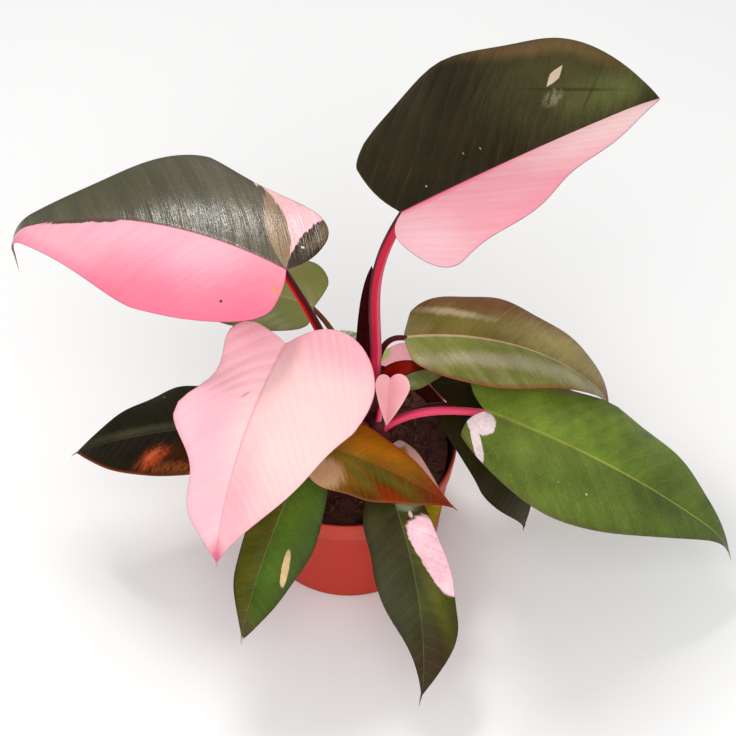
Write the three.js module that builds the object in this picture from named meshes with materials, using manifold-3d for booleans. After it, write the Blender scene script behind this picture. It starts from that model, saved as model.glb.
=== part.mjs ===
// A pink-variegated climbing philodendron in a 12 cm pot of thin moulded plastic.
// Millimetres, +Z up. The origin is the centre of the pot's flat underside and -Y is the plant's front.
// The pot holds a disc of potting mix, three short stems stand in holes in the mix, and each leaf is one
// solid: a petiole that clasps its stem and a heart-shaped blade that it carries.

import * as THREE from 'three';
import { mergeVertices } from 'three/addons/utils/BufferGeometryUtils.js';
import Module from 'manifold-3d';

const wasm = await Module();
wasm.setup();

// ---------------------------------------------------------------- driving dimensions

const CLEARANCE = 0.35; // air between two pieces that touch on the real plant

const POT = {
  rimRadius: 60,
  baseRadius: 51.5,
  height: 82,
  wall: 1.6,
  floor: 2.4,
  collarHeight: 15,
  collarStep: 1.3,
  lipBevel: 0.6,
  footRounding: 2,
  drainHoles: 8,
  drainRadius: 3.5,
  drainRing: 34,
  sides: 40,
};

const SOIL = {
  level: 72, // height of the surface by the wall
  crowning: 3, // how much higher it lies in the middle
  relief: 1.6, // height of its slow waves
  rings: 6,
  sides: 30,
};

const STEM_SHAPE = {
  nodes: 5,
  swelling: 0.7, // how far a node stands out
  lean: 1.5, // how far the middle bows to the right
  crownShare: 0.05, // the last share of the length, which rounds off
  crownRounding: 0.6, // share of the radius lost there
  steps: 14,
  sides: 8,
};

const PETIOLE_SHAPE = {
  flare: 0.9, // extra radius where it clasps the stem
  flareFade: 14,
  bow: 0.42, // pull of its two ends, as a share of the distance between them
  seat: [1, 2], // its end lies this far below the blade's face and this far along the midrib
  stepLength: 12,
  fewestSteps: 6,
  sides: 6,
};

const BLADE = {
  thickness: 0.8,
  keel: 1.3, // how far the midrib stands out below the blade at its base
  keelEnd: 1.2, // share of the length where the keel would run out
  stations: 40,
  hookShare: 0.15, // the last share of the midrib, which hooks down
  rowSpread: 1.1, // above 1, the rows start closer together on the midrib by the base
  // A large or a small leaf: shares of the way from midrib to margin, and the number of rows along the inner
  // lobe, the outer lobe and the long margin.
  large: { columns: [0, 0.3, 0.65, 1], rows: [2, 4, 9] },
  small: { columns: [0, 0.5, 1], rows: [2, 3, 6] },
  smallUpTo: 62, // length
};

// Pulls that shape the outline of every half blade, as shares of its width, lobe and length.
const OUTLINE = {
  notchStart: [0.1, 0.5],
  notchEnd: 0.22,
  lobeFoot: 0.45,
  shoulderRise: 0.35,
  tipPull: 0.8,
};

const STEMS = {
  back: { foot: [8, 8, 50], crown: [13, 6, 118], radius: 5.5 },
  right: { foot: [20, -12, 50], crown: [16, -9, 108], radius: 4.5 },
  front: { foot: [-8, -10, 50], crown: [-6, -15, 104], radius: 4.5 },
};

// Each leaf: its petiole leaves the stem at `height`, and `at` is where it meets the blade. Heading, pitch
// and roll set the midrib's direction there: heading 0 is +X and 90 is +Y, and a positive roll lowers the
// right half, seen from the base with the face up. Droop, sweep, twist and hook are the turns that the
// midrib makes between base and tip. `leave` and `arrive` are the heading and rise of the petiole's two
// ends, and `petiole` its radii there.
// Values in pairs are for the left and the right half:
//   half      width
//   widest    place of the widest point, as a share of the length
//   lobe      how far the lobe reaches back past the petiole
//   shoulder  how square the lobe is, as a share of the width
//   belly     how far the widest part runs on, as a share of what is left of the length
//   point     how blunt the tip is, as a share of the width
//   fold      rise from the midrib, in degrees
//   cup       turn back down by the margin, in degrees
//   waves     lift of the margin in mm, its ripple as a share of the width, number of waves, starting angle
const PLAIN_LEAF = {
  roll: 0, sweep: 0, twist: 0, hook: 5,
  widest: [0.3, 0.3], shoulder: [0.85, 0.85], belly: [0.45, 0.45], point: [0.25, 0.25],
  fold: [10, 10], cup: [25, 25], waves: [[1, 0.02, 3, 0], [1, 0.02, 3, 0]],
};

const LEAVES = {
  leaf_tall_right: {
    stem: 'back', height: 110, at: [27, 3, 252], heading: 30, pitch: 6,
    length: 149, half: [61, 54], widest: [0.44, 0.05], lobe: [9, 13.5], shoulder: [0.55, 1.1],
    belly: [0.41, 0.1], point: [1.24, 0.6],
    droop: 6, twist: -14, fold: [32, 20], cup: [18, 10],
    waves: [[1, 0.04, 1.7, 195], [1.5, 0.07, 2.5, 170]],
    leave: [0, 82], arrive: [0, 65], petiole: [3.4, 2.5], colour: 0x3b3a28,
  },
  leaf_tall_left: {
    stem: 'back', height: 94, at: [-29, 1, 215], heading: 156, pitch: 16,
    length: 172, half: [46.5, 47.5], widest: [0.38, 0.35], lobe: [4.5, 10], shoulder: [0.73, 0.8],
    belly: [0.2, 0.1], point: [0.1, 0],
    droop: 50, sweep: 14, hook: 60, fold: [-6, 19], cup: [30, 30],
    waves: [[1, 0.01, 3, 0], [1, 0.13, 1.7, 167]],
    leave: [190, 68], arrive: [173, 66], petiole: [2.9, 2], colour: 0x4a4636,
  },
  leaf_pink_front: {
    stem: 'back', height: 86, at: [-30, -15, 178], heading: -119, pitch: -18,
    length: 118, half: [56, 31.5], widest: [0.25, 0.44], lobe: [16, 2], shoulder: [0.8, 0.77],
    belly: [0.12, 0.26], point: [0.2, 0.25],
    droop: 38, sweep: 10, hook: 10, fold: [14, 28], cup: [25, 20],
    waves: [[1.5, 0.07, 1.5, 86], [3, 0.14, 2.5, 72]],
    leave: [250, 38], arrive: [200, 35], petiole: [2.7, 2], colour: 0xf3bcc6,
  },
  leaf_green_back: {
    stem: 'back', height: 82, at: [-18.5, 50, 134], heading: 160, pitch: 6,
    length: 94, half: [27, 34], widest: [0.4, 0.3], lobe: [2, 2], shoulder: [0.7, 0.7],
    point: [0.1, 0.25],
    droop: 30, hook: 10, fold: [8, 8],
    leave: [150, 66], arrive: [145, 23], petiole: [2.2, 1.3], colour: 0x4f6a35,
  },
  leaf_bronze_right: {
    stem: 'back', height: 96, at: [30, 22, 140], heading: 4, pitch: 6,
    length: 138, half: [33.5, 32], widest: [0.36, 0.35], lobe: [-4.5, -2.5], shoulder: [0.5, 0.6],
    belly: [0.25, 0.23], point: [0.6, 0.15],
    droop: 62, sweep: -8, hook: 15, fold: [12, 12], cup: [30, 30],
    leave: [58, 61], arrive: [5, -22], petiole: [2.4, 1.4], colour: 0x6b5a33,
  },
  leaf_green_right: {
    stem: 'right', height: 100, at: [73, -13, 121.5], heading: -13, pitch: -16,
    length: 170, half: [43.5, 45], widest: [0.56, 0.28], lobe: [12, 10], shoulder: [1, 0.5],
    belly: [0.22, 0.38], point: [0.1, 0.05],
    droop: 26, hook: 25, fold: [6, 6], waves: [[1.5, 0.03, 3, 0], [1.5, 0.02, 3, 0]],
    leave: [-5, 52], arrive: [-5, -3], petiole: [2.6, 2], colour: 0x567038,
  },
  leaf_dark_right: {
    stem: 'right', height: 88, at: [55, 5, 106], heading: -30, pitch: -5,
    length: 92, half: [24, 25], widest: [0.3, 0.53], lobe: [19, 2], shoulder: [0.85, 0.5],
    belly: [0.1, 0.44], point: [0, 0.2],
    droop: 80, sweep: -20, fold: [10, -5], cup: [15, 10],
    leave: [40, 62], arrive: [0, -5], petiole: [2.4, 1.6], colour: 0x2e2c22,
  },
  leaf_pink_small: {
    stem: 'right', height: 104, at: [22.5, -5, 138.5], heading: -98, pitch: -50,
    length: 27, half: [11, 7.5], widest: [0.15, 0.15], lobe: [3, 2], belly: [0.15, 0.15],
    droop: 20, fold: [15, 15], cup: [30, 30], waves: [[0.3, 0, 2, 0], [0.3, 0, 2, 0]],
    leave: [60, 82], arrive: [-90, 20], petiole: [1.6, 1.1], colour: 0xf0a9b8,
  },
  leaf_pale_back: {
    stem: 'back', height: 90, at: [5, 33, 108], heading: 112, pitch: 20,
    length: 25, half: [11, 11], lobe: [5, 5],
    droop: 40, fold: [12, 12], waves: [[0.6, 0, 2, 0], [0.6, 0, 2, 0]],
    leave: [100, 40], arrive: [105, 20], petiole: [1.8, 1.2], colour: 0xa8b792,
  },
  leaf_pink_back: {
    stem: 'back', height: 82, at: [24, 23, 114], heading: 0, pitch: 16,
    length: 36, half: [17, 17], lobe: [9, 9],
    droop: 25, fold: [12, 12], waves: [[0.6, 0, 2, 0], [0.6, 0, 2, 0]],
    leave: [30, 38], arrive: [70, 45], petiole: [1.7, 1.1], colour: 0xf2b3bf,
  },
  leaf_bronze_front: {
    stem: 'front', height: 100, at: [-9, -34, 116], heading: -20, pitch: 0,
    length: 73, half: [21, 24], widest: [0.15, 0.2], lobe: [8, 8], shoulder: [0.85, 1.05],
    belly: [0.3, 0.45], point: [0.1, 0.2],
    droop: 30, cup: [20, 20], waves: [[0.8, 0.02, 2, 0], [0.8, 0.04, 3, 0]],
    leave: [-120, 60], arrive: [-60, 20], petiole: [2.1, 1.4], colour: 0x8a5a22,
  },
  leaf_yellowing_front: {
    stem: 'front', height: 86, at: [23, -18, 97], heading: -66, pitch: 5,
    length: 56, half: [14.5, 16], widest: [0.6, 0.4], lobe: [2, 4], shoulder: [0.5, 0.85],
    droop: 60, waves: [[0.6, 0.02, 2, 0], [0.6, 0.02, 2, 0]],
    leave: [0, 30], arrive: [-20, 10], petiole: [1.8, 1.2], colour: 0xa39a35,
  },
  leaf_green_front: {
    stem: 'front', height: 95, at: [-22, -34, 108], heading: -115.5, pitch: -18,
    length: 105, half: [23.5, 14.5], widest: [0.4, 0.55], lobe: [4, 4], shoulder: [0.5, 0.5],
    belly: [0.27, 0.4], point: [0.4, 0],
    droop: 40, hook: 15,
    leave: [-120, 50], arrive: [-115, 15], petiole: [2.3, 1.6], colour: 0x4a6030,
  },
  leaf_dark_pink_front: {
    stem: 'front', height: 86, at: [22, -48, 100], heading: -70, pitch: -8,
    length: 118, half: [20, 22.5], widest: [0.62, 0.36], lobe: [4, 0], shoulder: [0.5, 0.5],
    belly: [0.35, 0.1], point: [0, 0],
    droop: 60, sweep: -14, hook: 15, waves: [[1, 0.02, 3, 0], [1, 0.1, 2, 50]],
    leave: [-60, 45], arrive: [-60, 5], petiole: [2.3, 1.6], colour: 0x4b4b33,
  },
  leaf_dark_left: {
    stem: 'front', height: 88, at: [-55, -8, 103], heading: 180, pitch: -2,
    length: 98, half: [29.5, 33], widest: [0.3, 0.27], lobe: [4, 8], shoulder: [0.6, 0.85],
    belly: [0.5, 0.45], point: [0.5, 0.27],
    droop: 24, fold: [8, 8],
    leave: [170, 45], arrive: [175, 5], petiole: [2.3, 1.6], colour: 0x37352a,
  },
};

// Sheaths that once wrapped a new leaf: narrow blades with no petiole, folded up along the middle.
const SHEATHS = {
  sheath_tall: {
    stem: 'back', at: [8.7, 11.3, 106], heading: 45, pitch: 86.5, roll: 38,
    length: 96, half: [6, 5], widest: [0.2, 0.2], lobe: [0, 0], point: [1, 1],
    droop: 0, hook: 0, fold: [8, 0], cup: [-20, -20], waves: [[0, 0, 2, 0], [0, 0, 2, 0]],
    colour: 0x3a0f14,
  },
  sheath_red: {
    stem: 'back', at: [18.5, 7, 115.5], heading: -12, pitch: 84, roll: 20,
    length: 37, half: [7, 7], widest: [0.2, 0.2], lobe: [0, 0],
    droop: 120, hook: 0, fold: [30, 30], cup: [20, 20], waves: [[0, 0, 2, 0], [0, 0, 2, 0]],
    colour: 0x8c1d12,
  },
};

// ---------------------------------------------------------------- solids

const radians = THREE.MathUtils.degToRad;

// A closed three.js geometry as a solid that can be joined and cut.
function solidOf(geometry) {
  const bare = geometry.index ? geometry.toNonIndexed() : geometry.clone();
  for (const name of Object.keys(bare.attributes)) {
    if (name !== 'position') bare.deleteAttribute(name);
  }
  const merged = mergeVertices(bare, 1e-3);
  const triVerts = [];
  for (let i = 0; i < merged.index.count; i += 3) {
    const [a, b, c] = merged.index.array.slice(i, i + 3);
    if (a !== b && b !== c && a !== c) triVerts.push(a, b, c);
  }
  return new wasm.Manifold(new wasm.Mesh({
    numProp: 3,
    vertProperties: merged.attributes.position.array,
    triVerts: new Uint32Array(triVerts),
  }));
}

function geometryOf(points, faces) {
  const geometry = new THREE.BufferGeometry();
  geometry.setAttribute('position', new THREE.Float32BufferAttribute(points.flat(), 3));
  geometry.setIndex(faces.flat());
  return geometry;
}

function meshOf(name, solid, material) {
  const { numProp, vertProperties, triVerts } = solid.getMesh();
  const positions = [];
  for (let i = 0; i < vertProperties.length; i += numProp) {
    positions.push(vertProperties[i], vertProperties[i + 1], vertProperties[i + 2]);
  }
  const geometry = new THREE.BufferGeometry();
  geometry.setAttribute('position', new THREE.Float32BufferAttribute(positions, 3));
  geometry.setIndex(Array.from(triVerts));
  geometry.computeVertexNormals();
  const mesh = new THREE.Mesh(geometry, material);
  mesh.name = name;
  return mesh;
}

// ---------------------------------------------------------------- materials

function plainMaterial(color, roughness) {
  return new THREE.MeshStandardMaterial({ color, roughness, metalness: 0 });
}

const terracottaPlastic = () => plainMaterial(0xb5391f, 0.55);
const pottingMix = () => plainMaterial(0x2a1d18, 0.95);
const stemSkin = () => plainMaterial(0x5a2a24, 0.6);
const leafSkin = (colour) => plainMaterial(colour, 0.4);

// ---------------------------------------------------------------- pot and potting mix

// Outer radius of the pot's wall below the collar, at a height.
function wallRadius(z) {
  const topRadius = POT.rimRadius - POT.collarStep;
  return POT.baseRadius + ((topRadius - POT.baseRadius) * z) / POT.height;
}

// The rounded edge between the pot's underside and its wall, as [radius, height] points.
function footCorner() {
  const steps = 2;
  const sweep = 80; // degrees from straight down to the wall
  const centre = POT.baseRadius - POT.footRounding;
  return Array.from({ length: steps + 1 }, (_, step) => {
    const turn = radians(-90 + (step * sweep) / steps);
    return [centre + POT.footRounding * Math.cos(turn), POT.footRounding * (1 + Math.sin(turn))];
  });
}

// One drainage hole's drill, number `hole` round the ring.
function drainDrill(hole) {
  const turn = (2 * Math.PI * (hole + 0.5)) / POT.drainHoles;
  const drill = new THREE.CylinderGeometry(POT.drainRadius, POT.drainRadius, 4 * POT.floor, 8);
  drill.rotateX(Math.PI / 2);
  drill.translate(POT.drainRing * Math.cos(turn), POT.drainRing * Math.sin(turn), 0);
  return solidOf(drill);
}

function potSolid() {
  const collarFoot = POT.height - POT.collarHeight;
  const neck = wallRadius(collarFoot);
  const innerStep = 1.5; // height of the slope inside, where the wall widens into the collar
  const profile = [
    [0, 0],
    ...footCorner(),
    [neck, collarFoot],
    [neck + POT.collarStep, collarFoot + POT.lipBevel],
    [POT.rimRadius, POT.height - POT.lipBevel],
    [POT.rimRadius - POT.lipBevel, POT.height],
    [POT.rimRadius - POT.wall, POT.height],
    [neck - POT.wall + POT.collarStep, collarFoot],
    [neck - POT.wall, collarFoot - innerStep],
    [wallRadius(POT.floor) - POT.wall - 1, POT.floor],
    [0, POT.floor],
  ].map(([radius, z]) => new THREE.Vector2(radius, z));
  const turned = new THREE.LatheGeometry(profile, POT.sides);
  turned.rotateX(Math.PI / 2);
  let solid = solidOf(turned);
  for (let hole = 0; hole < POT.drainHoles; hole += 1) solid = solid.subtract(drainDrill(hole));
  return solid;
}

// Height of the mix at a point: a few slow waves, level at the pot's wall.
function soilHeight(x, y) {
  const reach = Math.hypot(x, y) / POT.rimRadius;
  const bumps = Math.sin(0.21 * x + 0.6) * Math.cos(0.17 * y - 0.4) + 0.6 * Math.sin(0.47 * y + 0.33 * x);
  return SOIL.level + (SOIL.relief * bumps + SOIL.crowning) * (1 - reach * reach);
}

function soilSolid() {
  const innerRadius = (z) => wallRadius(z) - POT.wall - CLEARANCE;
  const bottom = POT.floor + CLEARANCE;
  const bottomRadius = innerRadius(bottom) - 1;
  const topRadius = innerRadius(POT.height - POT.collarHeight - 2);
  const points = [[0, 0, soilHeight(0, 0)]];
  const faces = [];
  const index = (ring, side) => 1 + (ring - 1) * SOIL.sides + (side % SOIL.sides);
  for (let ring = 1; ring <= SOIL.rings + 1; ring += 1) {
    const below = ring > SOIL.rings;
    const radius = below ? bottomRadius : (topRadius * ring) / SOIL.rings;
    for (let side = 0; side < SOIL.sides; side += 1) {
      const turn = (2 * Math.PI * side) / SOIL.sides;
      const [x, y] = [radius * Math.cos(turn), radius * Math.sin(turn)];
      points.push([x, y, below ? bottom : soilHeight(x, y)]);
    }
  }
  points.push([0, 0, bottom]);
  for (let side = 0; side < SOIL.sides; side += 1) {
    faces.push([0, index(1, side), index(1, side + 1)]);
    for (let ring = 1; ring <= SOIL.rings; ring += 1) {
      const [a, b] = [index(ring, side), index(ring, side + 1)];
      const [c, d] = [index(ring + 1, side), index(ring + 1, side + 1)];
      faces.push([a, c, b], [b, c, d]);
    }
    faces.push([points.length - 1, index(SOIL.rings + 1, side + 1), index(SOIL.rings + 1, side)]);
  }
  let solid = solidOf(geometryOf(points, faces));
  for (const stem of Object.values(STEMS)) solid = solid.subtract(stemSolid(stem, CLEARANCE));
  return solid;
}

// ---------------------------------------------------------------- stems and petioles

// A closed rod along a curve, its radius a function of the way along: a tube of radius 1 whose rings are then
// resized.
function rod(curve, radiusAt, steps, sides) {
  const section = new THREE.Shape(Array.from({ length: sides }, (_, side) => {
    const turn = (2 * Math.PI * side) / sides;
    return new THREE.Vector2(Math.cos(turn), Math.sin(turn));
  }));
  const tube = new THREE.ExtrudeGeometry(section, { steps, extrudePath: curve, bevelEnabled: false });
  const centres = curve.getSpacedPoints(steps);
  const { position } = tube.attributes;
  const point = new THREE.Vector3();
  for (let i = 0; i < position.count; i += 1) {
    point.fromBufferAttribute(position, i);
    const distances = centres.map((centre) => centre.distanceTo(point));
    const ring = distances.indexOf(Math.min(...distances));
    point.sub(centres[ring]).multiplyScalar(radiusAt(ring / steps)).add(centres[ring]);
    position.setXYZ(i, point.x, point.y, point.z);
  }
  return solidOf(tube);
}

// A stem swells at each node and rounds off at its crown. It can be grown a little, to cut what touches it.
function stemSolid(stem, grown = 0) {
  const { nodes, swelling, lean, crownShare, crownRounding, steps, sides } = STEM_SHAPE;
  const foot = new THREE.Vector3(...stem.foot);
  const crown = new THREE.Vector3(...stem.crown);
  const middle = foot.clone().lerp(crown, 0.5).add(new THREE.Vector3(lean, 0, 0));
  const curve = new THREE.CatmullRomCurve3([foot, middle, crown]);
  const radiusAt = (t) => {
    const node = swelling * Math.cos(2 * Math.PI * nodes * t) ** 4;
    const past = Math.max(0, (t - (1 - crownShare)) / crownShare);
    return (stem.radius + node) * (1 - crownRounding * past) + grown;
  };
  return rod(curve, radiusAt, steps, sides);
}

// The point on a stem's axis at a height above the ground.
function stemPoint(stem, height) {
  const share = (height - stem.foot[2]) / (stem.crown[2] - stem.foot[2]);
  return new THREE.Vector3(...stem.foot).lerp(new THREE.Vector3(...stem.crown), share);
}

function direction([azimuth, elevation]) {
  const [a, e] = [radians(azimuth), radians(elevation)];
  return new THREE.Vector3(Math.cos(a) * Math.cos(e), Math.sin(a) * Math.cos(e), Math.sin(e));
}

function petioleSolid(leaf, spine) {
  const { flare, flareFade, bow, seat, stepLength, fewestSteps, sides } = PETIOLE_SHAPE;
  const { forward, up } = spine[0];
  const start = stemPoint(STEMS[leaf.stem], leaf.height);
  const end = new THREE.Vector3(...leaf.at).addScaledVector(up, -seat[0]).addScaledVector(forward, seat[1]);
  const distance = start.distanceTo(end);
  const curve = new THREE.CubicBezierCurve3(
    start,
    start.clone().addScaledVector(direction(leaf.leave), bow * distance),
    end.clone().addScaledVector(direction(leaf.arrive), -bow * distance),
    end,
  );
  const [foot, top] = leaf.petiole;
  const radiusAt = (t) => top + (foot - top) * (1 - t) + flare * Math.exp(-t * flareFade);
  return rod(curve, radiusAt, Math.max(fewestSteps, Math.round(distance / stepLength)), sides);
}

// ---------------------------------------------------------------- blades

// Frames along the midrib from base to tip: a place, and the blade's forward, right and up directions there.
function spineOf(leaf) {
  const forward = direction([leaf.heading, leaf.pitch]);
  const level = new THREE.Vector3(Math.sin(radians(leaf.heading)), -Math.cos(radians(leaf.heading)), 0);
  const right = level.clone().applyAxisAngle(forward, radians(leaf.roll));
  const up = right.clone().cross(forward);
  const place = new THREE.Vector3(...leaf.at);
  const perStation = (angle) => radians(angle) / BLADE.stations;
  const spine = [];
  for (let k = 0; k <= BLADE.stations; k += 1) {
    spine.push({ place: place.clone(), forward: forward.clone(), right: right.clone(), up: up.clone() });
    const hooked = (k + 0.5) / BLADE.stations > 1 - BLADE.hookShare;
    const bend = perStation(-leaf.droop) - (hooked ? perStation(leaf.hook) / BLADE.hookShare : 0);
    forward.applyAxisAngle(right, bend);
    up.applyAxisAngle(right, bend);
    forward.applyAxisAngle(up, perStation(leaf.sweep));
    right.applyAxisAngle(up, perStation(leaf.sweep));
    right.applyAxisAngle(forward, perStation(leaf.twist));
    up.applyAxisAngle(forward, perStation(leaf.twist));
    place.addScaledVector(forward, leaf.length / BLADE.stations);
  }
  return spine;
}

// The frame at a distance along the midrib. Behind the base the midrib's line runs straight on.
function frameAt(leaf, spine, along) {
  const station = THREE.MathUtils.clamp((along / leaf.length) * BLADE.stations, 0, BLADE.stations);
  const k = Math.min(Math.floor(station), BLADE.stations - 1);
  const blend = (name) => spine[k][name].clone().lerp(spine[k + 1][name], station - k);
  const place = blend('place').addScaledVector(spine[0].forward, Math.min(along, 0));
  return { place, right: blend('right').normalize(), up: blend('up').normalize() };
}

// The height of a half's margin wave at a distance along the midrib, from -1 to 1.
function waveAt(leaf, side, along) {
  const [, , count, start] = leaf.waves[side];
  return Math.sin(2 * Math.PI * count * (along / leaf.length) + radians(start));
}

// A point of the flat blade, bent to its place: `across` is negative on the left half, and `lift` is its
// height above the middle of the blade's thickness.
function bladePoint(leaf, spine, across, along, lift) {
  const side = across < 0 ? 0 : 1;
  const distance = Math.abs(across);
  const fold = radians(leaf.fold[side]);
  const turn = radians(leaf.cup[side]) / leaf.half[side];
  const slope = fold - turn * distance;
  const out = (Math.sin(fold) - Math.sin(slope)) / turn;
  const [waveHeight] = leaf.waves[side];
  const wave = waveHeight * (distance / leaf.half[side]) ** 2 * waveAt(leaf, side, along);
  const rise = (Math.cos(slope) - Math.cos(fold)) / turn + wave;
  const { place, right, up } = frameAt(leaf, spine, along);
  const sign = side === 0 ? -1 : 1;
  return place
    .addScaledVector(right, sign * (out - lift * Math.sin(slope)))
    .addScaledVector(up, rise + lift * Math.cos(slope))
    .toArray();
}

function gridOf(leaf) {
  return leaf.length > BLADE.smallUpTo ? BLADE.large : BLADE.small;
}

// The margin of one half as three curves of (across, along): notch, shoulder and flank.
function marginCurves(leaf, side) {
  const { length } = leaf;
  const { notchStart, notchEnd, lobeFoot, shoulderRise, tipPull } = OUTLINE;
  const width = leaf.half[side];
  const lobe = leaf.lobe[side];
  const widest = leaf.widest[side] * length;
  const rest = length - widest;
  const curve = (...points) => new THREE.CubicBezierCurve(...points.map(([x, y]) => new THREE.Vector2(x, y)));
  const foot = [lobeFoot * width, -lobe];
  const notch = [[0, 0], [notchStart[0] * width, -notchStart[1] * lobe], [notchEnd * width, -lobe], foot];
  const bulge = [width, widest];
  const shoulder = [foot, [leaf.shoulder[side] * width, -lobe], [width, shoulderRise * widest], bulge];
  const flank = [
    bulge,
    [width, widest + leaf.belly[side] * rest],
    [leaf.point[side] * width, widest + tipPull * rest],
    [0, length],
  ];
  return [curve(...notch), curve(...shoulder), curve(...flank)];
}

// Rows from midrib to margin, from the notch at the base round the lobe to the tip: each has its point on the
// margin and its foot, the place on the midrib that it starts from.
function marginRows(leaf, side) {
  const counts = gridOf(leaf).rows;
  const rows = [{ margin: [0, 0], foot: 0 }];
  marginCurves(leaf, side).forEach((curve, part) => {
    for (let i = 1; i <= counts[part]; i += 1) {
      const [across, along] = curve.getPoint(i / counts[part]).toArray();
      const ripple = 1 + leaf.waves[side][1] * waveAt(leaf, side, along);
      rows.push({ margin: [across * ripple, along], foot: 0 });
    }
  });
  const first = counts[0] + 1;
  rows.forEach((row, i) => {
    const share = Math.max(0, (i - first) / (rows.length - 1 - first));
    row.foot = leaf.length * share ** BLADE.rowSpread;
  });
  return rows;
}

// The blade as one closed body: the same triangles on its two faces and a wall round the margin.
function bladeSolid(leaf, spine) {
  const points = [];
  const faces = [];
  const known = new Map();
  const vertex = ([across, along], face) => {
    const key = `${across.toFixed(3)},${along.toFixed(3)},${face}`;
    if (!known.has(key)) {
      const onMidrib = Math.abs(across) < 1e-6;
      const depth = Math.min(1, BLADE.keelEnd - along / leaf.length);
      const keel = onMidrib && face < 0 ? BLADE.keel * depth : 0;
      known.set(key, points.length);
      points.push(bladePoint(leaf, spine, across, along, face * (BLADE.thickness / 2 + keel)));
    }
    return known.get(key);
  };
  const triangle = (a, b, c) => {
    if (a !== b && b !== c && a !== c) faces.push([a, b, c]);
  };
  const quad = (facingOut, a, b, c, d) => {
    const [second, fourth] = facingOut ? [b, d] : [d, b];
    triangle(a, second, c);
    triangle(a, c, fourth);
  };
  const { columns } = gridOf(leaf);
  for (const side of [0, 1]) {
    const sign = side === 0 ? -1 : 1;
    const rows = marginRows(leaf, side);
    const spot = ({ margin: [across, along], foot }, share) => [
      sign * across * share,
      foot + (along - foot) * share,
    ];
    for (let i = 0; i + 1 < rows.length; i += 1) {
      const [low, high] = [rows[i], rows[i + 1]];
      for (const face of [1, -1]) {
        for (let j = 0; j + 1 < columns.length; j += 1) {
          const [inner, outer] = [columns[j], columns[j + 1]];
          const corners = [spot(low, inner), spot(low, outer), spot(high, outer), spot(high, inner)];
          quad(sign * face > 0, ...corners.map((corner) => vertex(corner, face)));
        }
      }
      const [from, to] = [spot(low, 1), spot(high, 1)];
      quad(sign > 0, vertex(from, 1), vertex(from, -1), vertex(to, -1), vertex(to, 1));
    }
  }
  return solidOf(geometryOf(points, faces));
}

function leafSolid(leaf) {
  const spine = spineOf(leaf);
  const blade = bladeSolid(leaf, spine);
  const whole = leaf.petiole ? blade.add(petioleSolid(leaf, spine)) : blade;
  return whole.subtract(stemSolid(STEMS[leaf.stem], CLEARANCE));
}

// ---------------------------------------------------------------- the plant

const plant = new THREE.Group();
plant.name = 'potted_philodendron';
plant.add(meshOf('pot', potSolid(), terracottaPlastic()));
plant.add(meshOf('soil', soilSolid(), pottingMix()));
for (const [name, stem] of Object.entries(STEMS)) {
  plant.add(meshOf(`stem_${name}`, stemSolid(stem), stemSkin()));
}
for (const [name, differences] of Object.entries({ ...LEAVES, ...SHEATHS })) {
  const leaf = { ...PLAIN_LEAF, ...differences };
  plant.add(meshOf(name, leafSolid(leaf), leafSkin(leaf.colour)));
}

export default plant;
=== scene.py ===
"""A pink-variegated philodendron in a 12 cm nursery pot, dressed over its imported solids.

Metres, +Z up, -Y to the front. Leaf sizes are in millimetres, as a grower measures them, and are turned to
metres when a mesh is made. Every leaf is a petiole and a blade. The blade is laid out flat, as distances
across and along its midrib, and then bent to its place, so its colours are placed in the same flat measures.
"""

import logging
from collections.abc import Callable
from dataclasses import dataclass, field
from enum import Enum
from math import cos, hypot, pi, radians, sin, sqrt

import bmesh
import bpy
import numpy as np
from bpy.types import Material, Node, NodeSocket, NodeTree, Object
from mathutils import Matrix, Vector, noise
from mathutils.geometry import tessellate_polygon


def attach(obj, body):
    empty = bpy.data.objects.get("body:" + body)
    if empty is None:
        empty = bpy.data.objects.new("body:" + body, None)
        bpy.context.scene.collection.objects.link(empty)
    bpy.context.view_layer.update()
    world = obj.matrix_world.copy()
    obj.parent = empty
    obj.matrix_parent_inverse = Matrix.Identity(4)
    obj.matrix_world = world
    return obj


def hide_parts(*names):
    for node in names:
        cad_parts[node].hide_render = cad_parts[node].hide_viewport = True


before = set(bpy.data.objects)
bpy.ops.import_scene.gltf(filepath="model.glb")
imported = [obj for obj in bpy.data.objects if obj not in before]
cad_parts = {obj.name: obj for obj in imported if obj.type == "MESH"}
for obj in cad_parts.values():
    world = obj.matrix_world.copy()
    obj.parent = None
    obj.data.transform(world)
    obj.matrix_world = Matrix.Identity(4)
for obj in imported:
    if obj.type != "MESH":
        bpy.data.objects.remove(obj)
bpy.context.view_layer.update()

log = logging.getLogger("philodendron")
MM = 0.001
Array = np.ndarray
Pair = tuple[float, float]
Triple = tuple[float, float, float]
Colour = tuple[float, float, float, float]
Ink = tuple[str, float]  # a colour code and how strong it is


# ---------------- small maths


def paint(code: str) -> Colour:
    """Turns a six-figure sRGB colour code into the linear colour that shaders take.

    Args:
        code: The colour as six hexadecimal figures.

    Returns:
        Red, green, blue and alpha from 0 to 1.
    """
    shares = [int(code[i : i + 2], 16) / 255 for i in (0, 2, 4)]
    linear = [c / 12.92 if c <= 0.04045 else ((c + 0.055) / 1.055) ** 2.4 for c in shares]
    return (linear[0], linear[1], linear[2], 1.0)


def turned(vector: Array, axis: Array, angle: float) -> Array:
    """Returns a vector turned about a unit axis by an angle in radians, by the right-hand rule."""
    along = axis * float(np.dot(axis, vector)) * (1 - cos(angle))
    return vector * cos(angle) + np.cross(axis, vector) * sin(angle) + along


def heading(azimuth: float, elevation: float) -> Array:
    """Returns the unit vector at a heading (0 is +X, 90 is +Y) and a rise, both in degrees."""
    a, e = radians(azimuth), radians(elevation)
    return np.array([cos(a) * cos(e), sin(a) * cos(e), sin(e)])


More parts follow.
